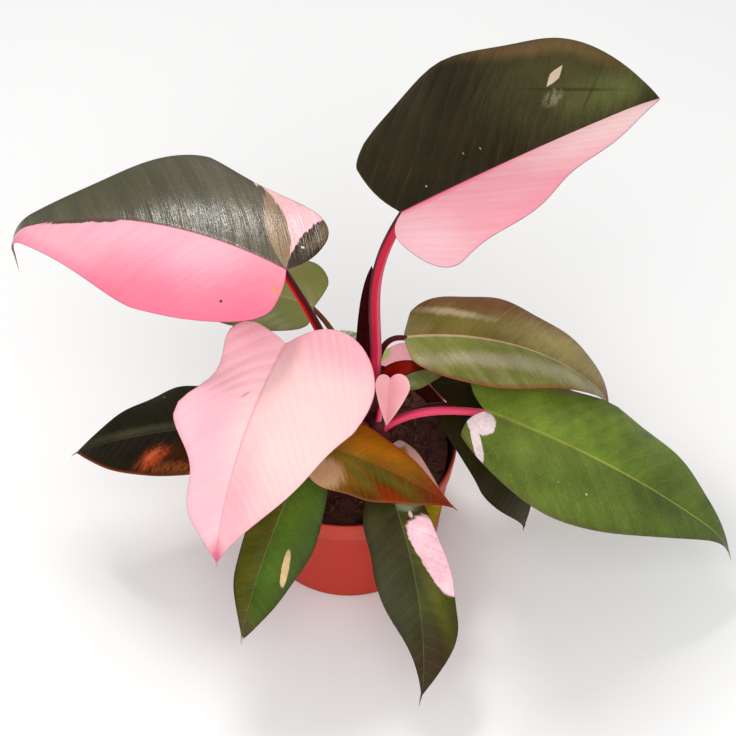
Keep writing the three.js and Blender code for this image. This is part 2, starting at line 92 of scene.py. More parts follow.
def unit(rows: Array) -> Array:
    """Returns each row scaled to length 1."""
    return rows / np.linalg.norm(rows, axis=-1, keepdims=True)


def cubic(corners: list[tuple[float, ...]], t: Array) -> Array:
    """Follows a cubic Bezier curve.

    Args:
        corners: Its four control points.
        t: Places on the curve from 0 to 1.

    Returns:
        One point of the curve for each place.
    """
    a, b, c, d = (np.array(corner, float) for corner in corners)
    t = t[:, None]
    return (1 - t) ** 3 * a + 3 * (1 - t) ** 2 * t * b + 3 * (1 - t) * t * t * c + t**3 * d


def eased(rows: Array, station: Array) -> Array:
    """Reads a row of evenly spaced vectors between its stations, on a smooth curve through all of them.

    Args:
        rows: The vectors, one for each whole station.
        station: Places to read, in stations.

    Returns:
        One vector for each place.
    """
    last = len(rows) - 1
    k = np.clip(np.floor(station).astype(int), 0, last - 1)
    t = (station - k)[:, None]
    before, after = rows[np.maximum(k - 1, 0)], rows[np.minimum(k + 2, last)]
    here, there = rows[k], rows[k + 1]
    cube = 3 * (here - there) + after - before
    square = 2 * before - 5 * here + 4 * there - after + t * cube
    return here + 0.5 * t * (there - before + t * square)


# ---------------- shader nodes


def sign(operation: str, swapped: bool = False) -> Callable[..., "Wire"]:
    """Makes a formula sign for wires out of a Math node's operation.

    Args:
        operation: The operation's name.
        swapped: Whether the wire is the second input.

    Returns:
        The method that adds the node.
    """

    def apply(wire: "Wire", *other: object) -> "Wire":
        """Adds the Math node."""
        return wire.made.calc(operation, *((*other, wire) if swapped else (wire, *other)))

    return apply


@dataclass(frozen=True)
class Wire:
    """A node's output, which is added, multiplied and so on as in a formula.

    Attributes:
        made: The shader that it belongs to.
        socket: The output socket.
    """

    made: "Shader"
    socket: NodeSocket

    __add__ = sign("ADD")
    __radd__ = sign("ADD", swapped=True)
    __sub__ = sign("SUBTRACT")
    __rsub__ = sign("SUBTRACT", swapped=True)
    __mul__ = sign("MULTIPLY")
    __truediv__ = sign("DIVIDE")
    __rtruediv__ = sign("DIVIDE", swapped=True)
    __pow__ = sign("POWER")
    __abs__ = sign("ABSOLUTE")


class Shader:
    """Places and joins the nodes of one material or one node group.

    Attributes:
        tree: The node tree that is being built.
    """

    def __init__(self, tree: NodeTree) -> None:
        """Starts on an empty tree."""
        self.tree = tree

    def add(self, kind: str, **settings: object) -> Node:
        """Adds a node.

        Args:
            kind: The node's type name.
            **settings: Values for its own properties.

        Returns:
            The node.
        """
        made = self.tree.nodes.new(kind)
        for name, value in settings.items():
            setattr(made, name, value)
        return made

    def fill(self, node: Node, **values: object) -> Node:
        """Links or sets a node's inputs by name, with underscores for spaces, and returns the node."""
        for name, value in values.items():
            self.put(node.inputs[name.replace("_", " ")], value)
        return node

    def put(self, socket: NodeSocket, value: object) -> None:
        """Links a socket to a wire, or sets its value.

        Args:
            socket: The input socket.
            value: A wire, a number, a vector, a colour or a colour code.
        """
        if isinstance(value, Wire):
            self.tree.links.new(value.socket, socket)
        else:
            socket.default_value = paint(value) if isinstance(value, str) else value

    def fed(self, kind: str, *values: object, **settings: object) -> list[Wire]:
        """Adds a node and feeds its inputs in their order.

        Args:
            kind: The node's type name.
            *values: Its inputs.
            **settings: Values for its own properties.

        Returns:
            Its outputs.
        """
        made = self.add(kind, **settings)
        for socket, value in zip(made.inputs, values):
            self.put(socket, value)
        return [Wire(self, socket) for socket in made.outputs]

    def calc(self, operation: str, *values: object) -> Wire:
        """Adds a Math node and returns its result."""
        return self.fed("ShaderNodeMath", *values, operation=operation)[0]

    def step(self, value: object, low: object, high: object, start: float = 0.0, end: float = 1.0) -> Wire:
        """Eases from one value to another as an input crosses a range.

        Args:
            value: The input.
            low: Where the change starts.
            high: Where it ends.
            start: The result before the range.
            end: The result after it.

        Returns:
            The result.
        """
        made = self.add("ShaderNodeMapRange", interpolation_type="SMOOTHSTEP")
        self.fill(made, Value=value, From_Min=low, From_Max=high, To_Min=start, To_Max=end)
        return Wire(self, made.outputs["Result"])

    def mix(self, share: object, first: object, second: object) -> Wire:
        """Mixes two colours by a share."""
        made = self.add("ShaderNodeMix", data_type="RGBA")
        for number, value in ((0, share), (6, first), (7, second)):
            self.put(made.inputs[number], value)
        return Wire(self, made.outputs[2])

    def join(self, x: object, y: object, z: object) -> Wire:
        """Joins three numbers into a vector."""
        return self.fed("ShaderNodeCombineXYZ", x, y, z)[0]

    def split(self, vector: Wire) -> list[Wire]:
        """Splits a vector into its three numbers."""
        return self.fed("ShaderNodeSeparateXYZ", vector)

    def cloud(self, vector: Wire, scale: float, detail: float = 2.0, rough: float = 0.5) -> Wire:
        """Adds noise around 0.5, with its bumps to a unit, its finer layers and their strength."""
        made = self.add("ShaderNodeTexNoise")
        self.fill(made, Vector=vector, Scale=scale, Detail=detail, Roughness=rough)
        return Wire(self, made.outputs["Fac"])

    def kept(self, name: str) -> Wire:
        """Reads a vector that is kept on the mesh."""
        return Wire(self, self.add("ShaderNodeAttribute", attribute_name=name).outputs["Vector"])

    def place(self) -> Wire:
        """Reads the place on the piece, in metres."""
        return Wire(self, self.add("ShaderNodeTexCoord").outputs["Object"])

    def bump(self, height: Wire, depth: float) -> Wire:
        """Turns a height from 0 to 1 into a bumped normal, with the depth that 1 stands for in metres."""
        made = self.fill(self.add("ShaderNodeBump"), Height=height, Distance=depth, Strength=1.0)
        return Wire(self, made.outputs["Normal"])

    def use(self, group: NodeTree, **values: object) -> dict[str, Wire]:
        """Places a node group with values for its inputs, and returns its outputs by name."""
        made = self.fill(self.add("ShaderNodeGroup", node_tree=group), **values)
        return {socket.name: Wire(self, socket) for socket in made.outputs}


class Surface(Shader):
    """A material with one Principled surface.

    Attributes:
        material: The material.
    """

    def __init__(self, name: str) -> None:
        """Starts the material under a name."""
        self.material = bpy.data.materials.new(name)
        self.material.use_nodes = True
        super().__init__(self.material.node_tree)
        self.tree.nodes.clear()
        self._skin = self.add("ShaderNodeBsdfPrincipled")
        self.fill(self.add("ShaderNodeOutputMaterial"), Surface=Wire(self, self._skin.outputs["BSDF"]))

    def finish(self, **values: object) -> Material:
        """Fills the Principled surface's inputs and returns the material."""
        self.fill(self._skin, **values)
        return self.material


class Group(Shader):
    """A node group with named inputs and outputs.

    Attributes:
        given: Its inputs by name.
    """

    VECTORS = {"Place", "Centre", "Size", "Flow"}

    def __init__(self, name: str, inputs: str, outputs: str) -> None:
        """Starts the group.

        Args:
            name: Its name.
            inputs: Names of its inputs, vectors where they are in VECTORS and numbers otherwise.
            outputs: Names of its outputs, likewise.
        """
        super().__init__(bpy.data.node_groups.new(name, "ShaderNodeTree"))
        for names, way in ((inputs, "INPUT"), (outputs, "OUTPUT")):
            for label in names.split():
                kind = "NodeSocketVector" if label in self.VECTORS else "NodeSocketFloat"
                self.tree.interface.new_socket(name=label, in_out=way, socket_type=kind)
        self.given = {s.name: Wire(self, s) for s in self.add("NodeGroupInput").outputs if s.name}
        self._exit = self.add("NodeGroupOutput")

    def close(self, **values: Wire) -> NodeTree:
        """Fills the outputs and returns the group."""
        self.fill(self._exit, **values)
        return self.tree


class LeafEffects:
    """The node groups that the blades and petioles share, each built once.

    Attributes:
        layout: Midrib, side veins and the line of growth at each place of a blade.
        patch: A blotch with round or square corners at a place of a blade.
        sector: A wedge of a blade that fans out from its petiole.
        streaks: Long soft streaks that follow the side veins.
        flecks: Small scattered dots.
        mottle: The uneven shade of a living blade.
    """

    def __init__(self) -> None:
        """Builds the groups."""
        self.layout = self._layout()
        self.patch = self._patch()
        self.sector = self._sector()
        self.streaks = self._streaks()
        self.flecks = self._flecks()
        self.mottle = self._mottle()

    @staticmethod
    def _layout() -> NodeTree:
        """Builds the group that lays out a blade's veins.

        Returns:
            The group. Flow holds the distance from the midrib, the place where the growth line left it, and
            the side. Midrib and Veins are masks, and Quilt is the swelling between side veins.
        """
        made = Group("leaf vein layout", "Place Lean Curl Spacing Rib Length", "Flow Midrib Veins Quilt")
        given = made.given
        across, along, _ = made.split(given["Place"])
        out_from, side = abs(across), made.calc("SIGN", across)
        origin = along - out_from * given["Lean"] - out_from * out_from * given["Curl"]
        flow = made.join(out_from, origin, side)
        phase = origin / given["Spacing"] + side * 0.22 + made.cloud(flow, 0.018, 1.0) * 3.0
        saw = made.calc("PINGPONG", phase, 0.5)
        clear = made.step(made.cloud(flow, 0.11), 0.35, 0.65, 0.15, 1.0)
        width = given["Rib"] * made.step(along, given["Length"] * 1.05, 0.0, 0.25, 1.0)
        return made.close(
            Flow=flow,
            Midrib=made.step(out_from, width * 0.55, width, 1.0, 0.0),
            Veins=made.step(saw, 0.0, 0.09, 1.0, 0.0) * clear,
            Quilt=made.step(saw, 0.0, 0.5),
        )

    @staticmethod
    def _patch() -> NodeTree:
        """Builds the group for a blotch of other colour on a blade.

        Returns:
            The group. Mask is 1 inside the blotch.
        """
        made = Group("leaf patch", "Place Centre Size Turn Corner Soft Ragged Noise", "Mask")
        given = made.given
        offset = made.fed("ShaderNodeVectorMath", given["Place"], given["Centre"], operation="SUBTRACT")[0]
        x, y, _ = made.split(offset)
        sine, cosine = made.calc("SINE", given["Turn"]), made.calc("COSINE", given["Turn"])
        wide, tall, _ = made.split(given["Size"])
        u = abs((x * cosine + y * sine) / wide) ** given["Corner"]
        v = abs((y * cosine - x * sine) / tall) ** given["Corner"]
        reach = (u + v) ** (1.0 / given["Corner"]) + (given["Noise"] - 0.5) * given["Ragged"]
        return made.close(Mask=made.step(reach, 1.0 - given["Soft"], 1.0 + given["Soft"], 1.0, 0.0))

    @staticmethod
    def _sector() -> NodeTree:
        """Builds the group for a wedge of other colour that fans out from the petiole.

        Returns:
            The group. Mask is 1 inside the wedge.
        """
        made = Group("leaf sector", "Place From To Bend Reach Soft Ragged Noise", "Mask")
        given = made.given
        across, along, _ = made.split(given["Place"])
        away = made.calc("SQRT", across * across + along * along)
        degrees = made.calc("ARCTAN2", along, abs(across)) * (180 / pi)
        degrees = degrees + away * given["Bend"] + (given["Noise"] - 0.5) * given["Ragged"]
        after = made.step(degrees, given["From"], given["From"] + given["Soft"])
        before = made.step(degrees, given["To"] - given["Soft"], given["To"], 1.0, 0.0)
        within = made.step(away - given["Reach"], -1.5, 1.5, 1.0, 0.0)
        return made.close(Mask=after * before * within)

    @staticmethod
    def _streaks() -> NodeTree:
        """Builds the group for the streaks that run out with the side veins.

        Returns:
            The group. Wide and Fine are soft values from 0 to 1, and Edge is the noise for ragged outlines.
        """
        made = Group("leaf streaks", "Flow Seed", "Wide Fine Edge")
        out_from, origin, side = made.split(made.given["Flow"])
        depth = made.given["Seed"] + side * 3.7

        def lines(outward: float, along: float, detail: float, rough: float = 0.5) -> Wire:
            """Reads noise that is stretched along the flow."""
            return made.cloud(made.join(out_from * outward, origin * along, depth), 1.0, detail, rough)

        return made.close(
            Wide=made.step(lines(0.02, 0.11, 2.0), 0.32, 0.68),
            Fine=made.step(lines(0.05, 0.75, 3.0, 0.6), 0.3, 0.7),
            Edge=lines(0.09, 0.45, 4.0, 0.62),
        )

    @staticmethod
    def _flecks() -> NodeTree:
        """Builds the group for small dots, a share of which show.

        Returns:
            The group. Mask is 1 on a dot.
        """
        made = Group("small flecks", "Place Spacing Radius Share", "Mask")
        given = made.given
        cells = made.add("ShaderNodeTexVoronoi")
        made.fill(cells, Vector=given["Place"], Scale=1.0 / given["Spacing"])
        distance, chance = (Wire(made, cells.outputs[name]) for name in ("Distance", "Color"))
        pick, growth, _ = made.split(chance)
        size = given["Radius"] * (growth + 0.35)
        dot = made.step(distance, size * 0.6, size, 1.0, 0.0)
        return made.close(Mask=dot * made.calc("LESS_THAN", pick, given["Share"]))

    @staticmethod
    def _mottle() -> NodeTree:
        """Builds the group for the uneven shade of a living blade.

        Returns:
            The group. Shade is a factor around 1, and Grain is a fine height from 0 to 1.
        """
        made = Group("leaf mottle", "Place Seed Amount", "Shade Grain")
        x, y, _ = made.split(made.given["Place"])
        place = made.join(x, y, made.given["Seed"])
        grain, broad = made.cloud(place, 0.7, 4.0, 0.68), made.cloud(place, 0.05, 2.0)
        both = (grain - 0.5) * 1.5 + (broad - 0.5) * 2.0
        return made.close(Shade=both * made.given["Amount"] + 1.0, Grain=grain)


# ---------------- leaf finishes


class Half(Enum):
    """Which half of a blade a patch lies on, seen on its upper face with the tip away from the viewer."""

    LEFT = -1
    RIGHT = 1
    BOTH = 0


LEFT, RIGHT = Half.LEFT, Half.RIGHT


@dataclass(frozen=True)
class Patch:
    """A blotch of other colour on a blade, in millimetres.

    Attributes:
        colour: Its colour code.
        centre: Distance across, negative on the left half, and distance along the midrib.
        size: Half its extent across and along.
        half: The half that it is held to.
        share: How strong it is.
        soft: Width of its faded edge, as a share of its size.
        ragged: How far growth lines break its edge, as a share of its size.
        turn: Its turn in degrees.
        corner: 2 for an ellipse, more for squarer corners.
        broken: Share of it that is broken into islands.
    """

    colour: str
    centre: Pair
    size: Pair
    half: Half = Half.BOTH
    share: float = 1.0
    soft: float = 0.9
    ragged: float = 0.5
    turn: float = 0.0
    corner: float = 2.0
    broken: float = 0.0


@dataclass(frozen=True)
class Wedge:
    """A sector of other colour that fans out from the petiole.

    Attributes:
        colour: Its colour code.
        span: Where it starts and ends, in degrees from straight across towards the tip.
        half: The half that it lies on.
        bend: How far its edges swing towards the base, in degrees for each millimetre from the petiole.
        reach: How far from the petiole it ends, in millimetres.
        soft: Width of its faded edge in degrees.
        ragged: How far growth lines break its edge, in degrees.
        share: How strong it is.
    """

    colour: str
    span: Pair
    half: Half
    bend: float
    reach: float = 999.0
    soft: float = 2.0
    ragged: float = 14.0
    share: float = 1.0


@dataclass(frozen=True)
class Tone:
    """The ground colour of half a blade.

    Attributes:
        base: Its colour code.
        streak: The colour of its streaks.
        amount: How strong the streaks are.
        rim: The colour by the margin.
        rim_width: How far that reaches in, in millimetres.
        rim_share: How strong it is.
        brush: Depth of the fine ribs that run with the side veins, in millimetres.
        dull: How much duller than the leaf's roughness it is.
        uneven: Its share of the leaf's uneven shade.
    """

    base: str
    streak: str
    amount: float
    rim: str
    rim_width: float
    rim_share: float = 0.5
    brush: float = 0.03
    dull: float = 0.0
    uneven: float = 1.0


@dataclass(frozen=True)
class BladeFinish:
    """Everything that colours one leaf's blade.

    Attributes:
        left: The left half's ground colour.
        right: The right half's ground colour.
        midrib: The midrib's ink.
        rib: Half the midrib's width at its base, in millimetres.
        veins: The side veins' ink.
        under: The colour of the lower face.
        edge: The thin line on the margin itself.
        roughness: How dull the upper face is.
        marks: Patches and wedges, painted in this order.
        fleck: The colour of its small dots.
        fleck_share: Share of the dots that show.
        quilt: Depth of the swelling between side veins, in millimetres.
        lean: How far the side veins run forward for each step outward.
        curl: How much more they do so towards the margin.
        mottle: How uneven its shade is.
        gloss: How strongly it mirrors.
    """

    left: Tone
    right: Tone
    midrib: Ink
    rib: float
    veins: Ink
    under: str
    edge: str
    roughness: float
    marks: tuple[Patch | Wedge, ...] = ()
    fleck: str = "e8e4d0"
    fleck_share: float = 0.02
    quilt: float = 0.09
    lean: float = 0.65
    curl: float = 0.003
    mottle: float = 0.25
    gloss: float = 0.3

    def _ground(self, made: Shader, tone: Tone, streaks: dict[str, Wire], rim: Wire) -> Wire:
        """Paints the ground colour of one half.

        Args:
            made: The material's shader.
            tone: The half's colours.
            streaks: The streaks' values.
            rim: Distance from the margin.

        Returns:
            The colour.
        """
        both = streaks["Wide"] * (0.7 * tone.amount) + streaks["Fine"] * (0.3 * tone.amount)
        ground = made.mix(both, tone.base, tone.streak)
        return made.mix(made.step(rim, 0.0, tone.rim_width, tone.rim_share, 0.0), ground, tone.rim)

    @staticmethod
    def _mark(made: Shader, effects: LeafEffects, mark: Patch | Wedge, place: Wire, edge: Wire) -> Wire:
        """Makes the mask of one patch or wedge.

        Args:
            made: The material's shader.
            effects: The shared node groups.
            mark: The patch or wedge.
            place: The place on the flat blade.
            edge: The noise that breaks its outline.

        Returns:
            The mask.
        """
        outline = {"Place": place, "Soft": mark.soft, "Ragged": mark.ragged, "Noise": edge}
        if isinstance(mark, Wedge):
            outline |= {"From": mark.span[0], "To": mark.span[1], "Bend": mark.bend, "Reach": mark.reach}
            mask = made.use(effects.sector, **outline)["Mask"]
        else:
            outline |= {"Centre": (*mark.centre, 0.0), "Size": (*mark.size, 1.0), "Corner": mark.corner}
            mask = made.use(effects.patch, Turn=radians(mark.turn), **outline)["Mask"]
            if mark.broken:
                rough = made.cloud(place, 0.42, 3.0, 0.65) + edge
                mask = mask * made.calc("MAXIMUM", made.step(rough * 0.5, 0.44, 0.5), 1 - mark.broken)
        mask = mask * mark.share
        if mark.half is Half.BOTH:
            return mask
        return mask * made.step(made.split(place)[0] * float(mark.half.value), -0.1, 0.25)

    def material(self, name: str, length: float, seed: float, effects: LeafEffects) -> Material:
        """Builds the blade's material.

        Args:
            name: The leaf's name.
            length: The blade's length in millimetres.
            seed: Sets this leaf's streaks apart from the others'.
            effects: The shared node groups.

        Returns:
            The material.
        """
        made = Surface(f"{name}_blade")
        place = made.kept("leaf_place")
        rim, face, _ = made.split(made.kept("leaf_edge"))
        right = made.step(made.split(place)[0], -0.12, 0.12)
        below = made.step(face, 0.2, -0.2)
        shape = {"Lean": self.lean, "Curl": self.curl, "Rib": self.rib, "Length": length}
        veins = made.use(effects.layout, Place=place, Spacing=max(4.5, length / 16), **shape)
        streaks = made.use(effects.streaks, Flow=veins["Flow"], Seed=seed)
        halves = [self._ground(made, tone, streaks, rim) for tone in (self.left, self.right)]
        colour = made.mix(right, *halves)
        for mark in self.marks:
            mask = self._mark(made, effects, mark, place, streaks["Edge"])
            colour = made.mix(mask, colour, mark.colour)
        dots = made.use(effects.flecks, Place=place, Spacing=5.0, Radius=0.14, Share=self.fleck_share)
        flecks = (self.fleck, 0.8)
        lines = ((veins["Veins"], self.veins), (veins["Midrib"], self.midrib), (dots["Mask"], flecks))
        for mask, (code, share) in lines:
            colour = made.mix(mask * share, colour, code)
        uneven = made.step(right, 0.0, 1.0, self.mottle * self.left.uneven, self.mottle * self.right.uneven)
        mottle = made.use(effects.mottle, Place=place, Seed=seed, Amount=uneven)
        shade = made.fill(made.add("ShaderNodeHueSaturation"), Value=mottle["Shade"], Color=colour)
        margin = made.step(rim, 0.0, 0.35, 0.75, 0.0)
        colour = made.mix(margin, Wire(made, shade.outputs["Color"]), self.edge)
        dull = made.step(mottle["Grain"], 0.25, 0.75, self.roughness - 0.05, self.roughness + 0.07)
        dull = dull + made.step(right, 0.0, 1.0, self.left.dull, self.right.dull)
        swelling = veins["Quilt"] - (veins["Veins"] + veins["Midrib"] * 1.5) * 0.25
        brush = made.step(right, 0.0, 1.0, self.left.brush / self.quilt, self.right.brush / self.quilt)
        height = swelling + streaks["Fine"] * brush + mottle["Grain"] * 0.25
        return made.finish(
            Base_Color=made.mix(below * 0.55, colour, self.under),
            Roughness=dull + below * 0.2,
            Normal=made.bump(height, self.quilt * MM),
            Specular_IOR_Level=self.gloss,
        )


@dataclass(frozen=True)
class RodFinish:
    """The skin of a petiole or a stem, painted lighter on the side that faces the light and darker, as shade,
    on the other.

    Attributes:
        lit: Colour code painted on the side towards the right front, as its lit side.
        dark: Colour code painted on the other side, as its shade.
        turn: Where one gives way to the other, from -1 to 1.
        blend: How wide the change is.
        streak: Colour of its fine lines.
        glint: Colour of a painted highlight in the middle of the lit side.
        shine: How strong that painted highlight is.
        top: Colour where it runs into the blade.
        roughness: How dull it is.
    """

    lit: str
    dark: str
    turn: float
    blend: float
    streak: str
    glint: str = ""
    shine: float = 0.8
    top: str = ""
    roughness: float = 0.36

    def material(self, name: str, effects: LeafEffects) -> Material:
        """Builds the rod's material.

        Args:
            name: The piece's name.
            effects: The shared node groups.

        Returns:
            The material.
        """
        made = Surface(f"{name}_skin")
        side, along, share = made.split(made.kept("leaf_place"))
        around = made.split(made.kept("leaf_edge"))[2]
        grain = made.cloud(made.join(around * 1.6, along * 0.05, 0.0), 1.0, 3.0, 0.6)
        lean = side + (grain - 0.5) * 0.5
        lit = made.step(lean, self.turn - self.blend, self.turn + self.blend)
        dots = made.use(
            effects.flecks, Place=made.join(around, along * 0.4, 0.0), Spacing=1.6, Radius=0.22, Share=0.16
        )
        # painted light and shade: the side towards LIGHT_SIDE takes the lit colour, the other side the shaded
        # one
        colour = made.mix(lit, self.dark, self.lit)
        colour = made.mix(made.step(grain, 0.55, 0.8, 0.0, 0.35), colour, self.streak)
        colour = made.mix(dots["Mask"] * 0.3, colour, self.streak)
        # painted highlight along the middle of the lit side
        if self.glint:
            colour = made.mix(made.step(lean, 0.55, 0.9, 0.0, self.shine), colour, self.glint)
        if self.top:
            colour = made.mix(made.step(share, 0.86, 1.0, 0.0, 0.85), colour, self.top)
        return made.finish(
            Base_Color=colour,
            Roughness=made.step(grain, 0.2, 0.8, self.roughness - 0.06, self.roughness + 0.08),
            Normal=made.bump(grain, 0.25 * MM),
            Specular_IOR_Level=0.12,
        )


# ---------------- meshes


class MeshParts:
    """Gathers the points, faces and surface values of one mesh.

    Attributes:
        points: Blocks of points in metres.
        faces: Faces as point numbers.
        slots: The material slot of each face.
        places: Blocks of the `leaf_place` value of each point.
        edges: Blocks of the `leaf_edge` value of each point.
        count: How many points there are so far.
    """

    def __init__(self) -> None:
        """Starts empty."""
        self.points: list[Array] = []
        self.faces: list[tuple[int, ...]] = []
        self.slots: list[int] = []
        self.places: list[Array] = []
        self.edges: list[Array] = []
        self.count = 0

    def block(self, points: Array, places: Array | None = None, edges: Array | None = None) -> int:
        """Adds a block of points.

        Args:
            points: The points in metres.
            places: Their `leaf_place` values.
            edges: Their `leaf_edge` values.

        Returns:
            The number of the block's first point.
        """
        flat = points.reshape(-1, 3)
        blank = np.zeros_like(flat)
        self.points.append(flat)
        self.places.append(blank if places is None else places.reshape(-1, 3))
        self.edges.append(blank if edges is None else edges.reshape(-1, 3))
        first = self.count
        self.count += len(flat)
        return first

    def face(self, corners: tuple[int, ...], slot: int = 0) -> None:
        """Adds one face."""
        self.faces.append(corners)
        self.slots.append(slot)

    def grid(
        self, first: int, rows: int, columns: int, closed: bool = False, flip: bool = False, slot: int = 0
    ) -> None:
        """Adds the faces of a block of points laid out in rows.

        Args:
            first: The block's first point.
            rows: How many rows.
            columns: How many points in a row.
            closed: Whether each row is a ring.
            flip: Whether the faces point the other way.
            slot: Their material slot.
        """
        for i in range(rows - 1):
            for j in range(columns if closed else columns - 1):
                k = (j + 1) % columns
                a, b = first + i * columns + j, first + i * columns + k
                c, d = first + (i + 1) * columns + k, first + (i + 1) * columns + j
                self.face((a, d, c, b) if flip else (a, b, c, d), slot)

    def piece(self, name: str, *materials: Material, weld: float = 0.0) -> Object:
        """Makes the object.

        Args:
            name: Its name.
            *materials: The materials of its slots.
            weld: Points closer than this, in metres, become one.

        Returns:
            The object, linked to the scene.
        """
        mesh = bpy.data.meshes.new(name)
        mesh.from_pydata(np.concatenate(self.points).tolist(), [], self.faces)
        mesh.polygons.foreach_set("material_index", self.slots)
        mesh.polygons.foreach_set("use_smooth", [True] * len(self.faces))
        for label, blocks in (("leaf_place", self.places), ("leaf_edge", self.edges)):
            kept = mesh.attributes.new(label, "FLOAT_VECTOR", "POINT")
            kept.data.foreach_set("vector", np.concatenate(blocks).astype(np.float32).ravel())
        if weld:
            work = bmesh.new()
            work.from_mesh(mesh)
            bmesh.ops.remove_doubles(work, verts=work.verts, dist=weld)
            bmesh.ops.dissolve_degenerate(work, edges=work.edges, dist=weld / 10)
            work.to_mesh(mesh)
            work.free()
        mesh.validate()
        for material in materials:
            mesh.materials.append(material)
        made = bpy.data.objects.new(name, mesh)
        bpy.context.scene.collection.objects.link(made)
        return made


@dataclass(frozen=True)
class Rod:
    """A round rod along a line: a petiole, a stem or a fibre.

    Attributes:
        line: Its centre line in metres.
        radius: Its radius at each point of the line, in metres.
        sides: Points round it.
        channel: Depth of the groove along its upper side, as a share of the radius.
    """

    line: Array
    radius: Array
    sides: int = 20
    channel: float = 0.0

    def add_to(self, parts: MeshParts, slot: int, light: Array) -> None:
        """Adds the rod to a mesh.

        Args:
            parts: The mesh that it joins.
            slot: Its material slot.
            light: The direction that its lit side faces.
        """
        ways = unit(np.gradient(self.line, axis=0))
        normal = np.cross(ways[0], np.array([0.0, 1.0, 0.2]))
        turn = np.linspace(0, 2 * pi, self.sides, endpoint=False)
        rings, places, edges = [], [], []
        blank, full = np.zeros(self.sides), np.ones(self.sides)
        length = np.concatenate([[0.0], np.cumsum(np.linalg.norm(np.diff(self.line, axis=0), axis=1))])
        for k, way in enumerate(ways):
            normal = normal - way * np.dot(normal, way)
            normal = normal / np.linalg.norm(normal)
            other = np.cross(way, normal)
            out = np.outer(np.cos(turn), normal) + np.outer(np.sin(turn), other)
            groove = 1 - self.channel * np.exp(-(((1 - out[:, 2]) / 0.25) ** 2))
            rings.append(self.line[k] + out * (self.radius[k] * groove)[:, None])
            along, share = length[k] / MM, length[k] / length[-1]
            places.append(np.column_stack([out @ light, full * along, full * share]))
            edges.append(np.column_stack([blank, full, turn * self.radius[0] / MM]))
        first = parts.block(np.array(rings), np.array(places), np.array(edges))
        parts.grid(first, len(ways), self.sides, closed=True, slot=slot)
        last = first + (len(ways) - 1) * self.sides
        parts.face(tuple(range(first + self.sides - 1, first - 1, -1)), slot)
        parts.face(tuple(range(last, last + self.sides)), slot)


# the direction that the rods' painted lit side faces; the opposite side is painted as shade
LIGHT_SIDE = unit(np.array([0.86, -0.42, 0.28]))


@dataclass(frozen=True)
class StemShape:
    """A short stem.

    Attributes:
        foot: Its lower end, in the potting mix, in millimetres.
        crown: Its upper end.
        radius: Its radius in millimetres.
        joints: How many leaf joints ring it.
        swelling: How far a joint stands out.
        lean: How far its middle bows to the right.
    """

    foot: Triple
    crown: Triple
    radius: float
    joints: int = 5
    swelling: float = 0.7
    lean: float = 1.5

    def at(self, height: float) -> Array:
        """Returns the point of its axis at a height above the ground, in millimetres."""
        foot, crown = np.array(self.foot), np.array(self.crown)
        return foot + (crown - foot) * (height - foot[2]) / (crown[2] - foot[2])

    def build(self, name: str, finish: RodFinish, effects: LeafEffects) -> Object:
        """Builds the stem with its ringed joints.

        Args:
            name: The piece's name.
            finish: Its skin.
            effects: The shared node groups.

        Returns:
            The stem.
        """
        t = np.linspace(0, 1, 90)
        foot, crown = np.array(self.foot), np.array(self.crown)
        line = foot + (crown - foot) * t[:, None]
        line[:, 0] += self.lean * 4 * t * (1 - t)
        joint = np.abs(np.cos(pi * self.joints * t))
        radius = self.radius + self.swelling * joint**8 + 0.35 * np.exp(-(((1 - joint) / 0.004) ** 2))
        radius = radius * (1 - 0.6 * np.maximum(0, (t - 0.95) / 0.05) ** 2)
        parts = MeshParts()
        Rod(line * MM, radius * MM, sides=28).add_to(parts, 0, LIGHT_SIDE)
        return parts.piece(name, finish.material(name, effects))


@dataclass(frozen=True)
class LeafShape:
    """The sizes of one leaf, in millimetres and degrees. Pairs are for the left and the right half.

    Attributes:
        stem: The stem that carries it, or "" for no petiole.
        at: Where the petiole meets the blade.
        heading: Direction of the midrib there, 0 for +X and 90 for +Y.
        pitch: Rise of the midrib there.
        length: Length of the blade.
        half: Width of each half.
        lobe: How far each lobe reaches back past the petiole.
        droop: Turn of the midrib downwards from base to tip.
        height: Where its petiole leaves the stem.
        roll: Turn of the blade about the midrib, positive when the right half is lower.
        sweep: Turn of the midrib to the left.
        twist: Turn of the blade about the midrib from base to tip.
        hook: Extra turn downwards of the last stretch.
        widest: Place of the widest point, as a share of the length.
        shoulder: How square each lobe is.
        belly: How far the widest part runs on.
        point: How blunt the tip is.
        fold: Rise of each half from the midrib.
        cup: Turn of each half back down by its margin.
        waves: Margin lift, ripple, number of waves and starting angle of each half.
        leave: Heading and rise of the petiole's lower end.
        arrive: Heading and rise of its upper end.
        petiole: Its radii at the two ends.
    """

    stem: str
    at: Triple
    heading: float
    pitch: float
    length: float
    half: Pair
    lobe: Pair
    droop: float
    height: float = 0.0
    roll: float = 0.0
    sweep: float = 0.0
    twist: float = 0.0
    hook: float = 5.0
    widest: Pair = (0.3, 0.3)
    shoulder: Pair = (0.85, 0.85)
    belly: Pair = (0.45, 0.45)
    point: Pair = (0.25, 0.25)
    fold: Pair = (10, 10)
    cup: Pair = (25, 25)
    waves: tuple[tuple[float, ...], tuple[float, ...]] = ((1, 0.02, 3, 0), (1, 0.02, 3, 0))
    leave: Pair = (0, 0)
    arrive: Pair = (0, 0)
    petiole: Pair = (0, 0)

    @property
    def large(self) -> bool:
        """Whether the solid leaf is laid out in the finer of its two grids."""
        return self.length > 62


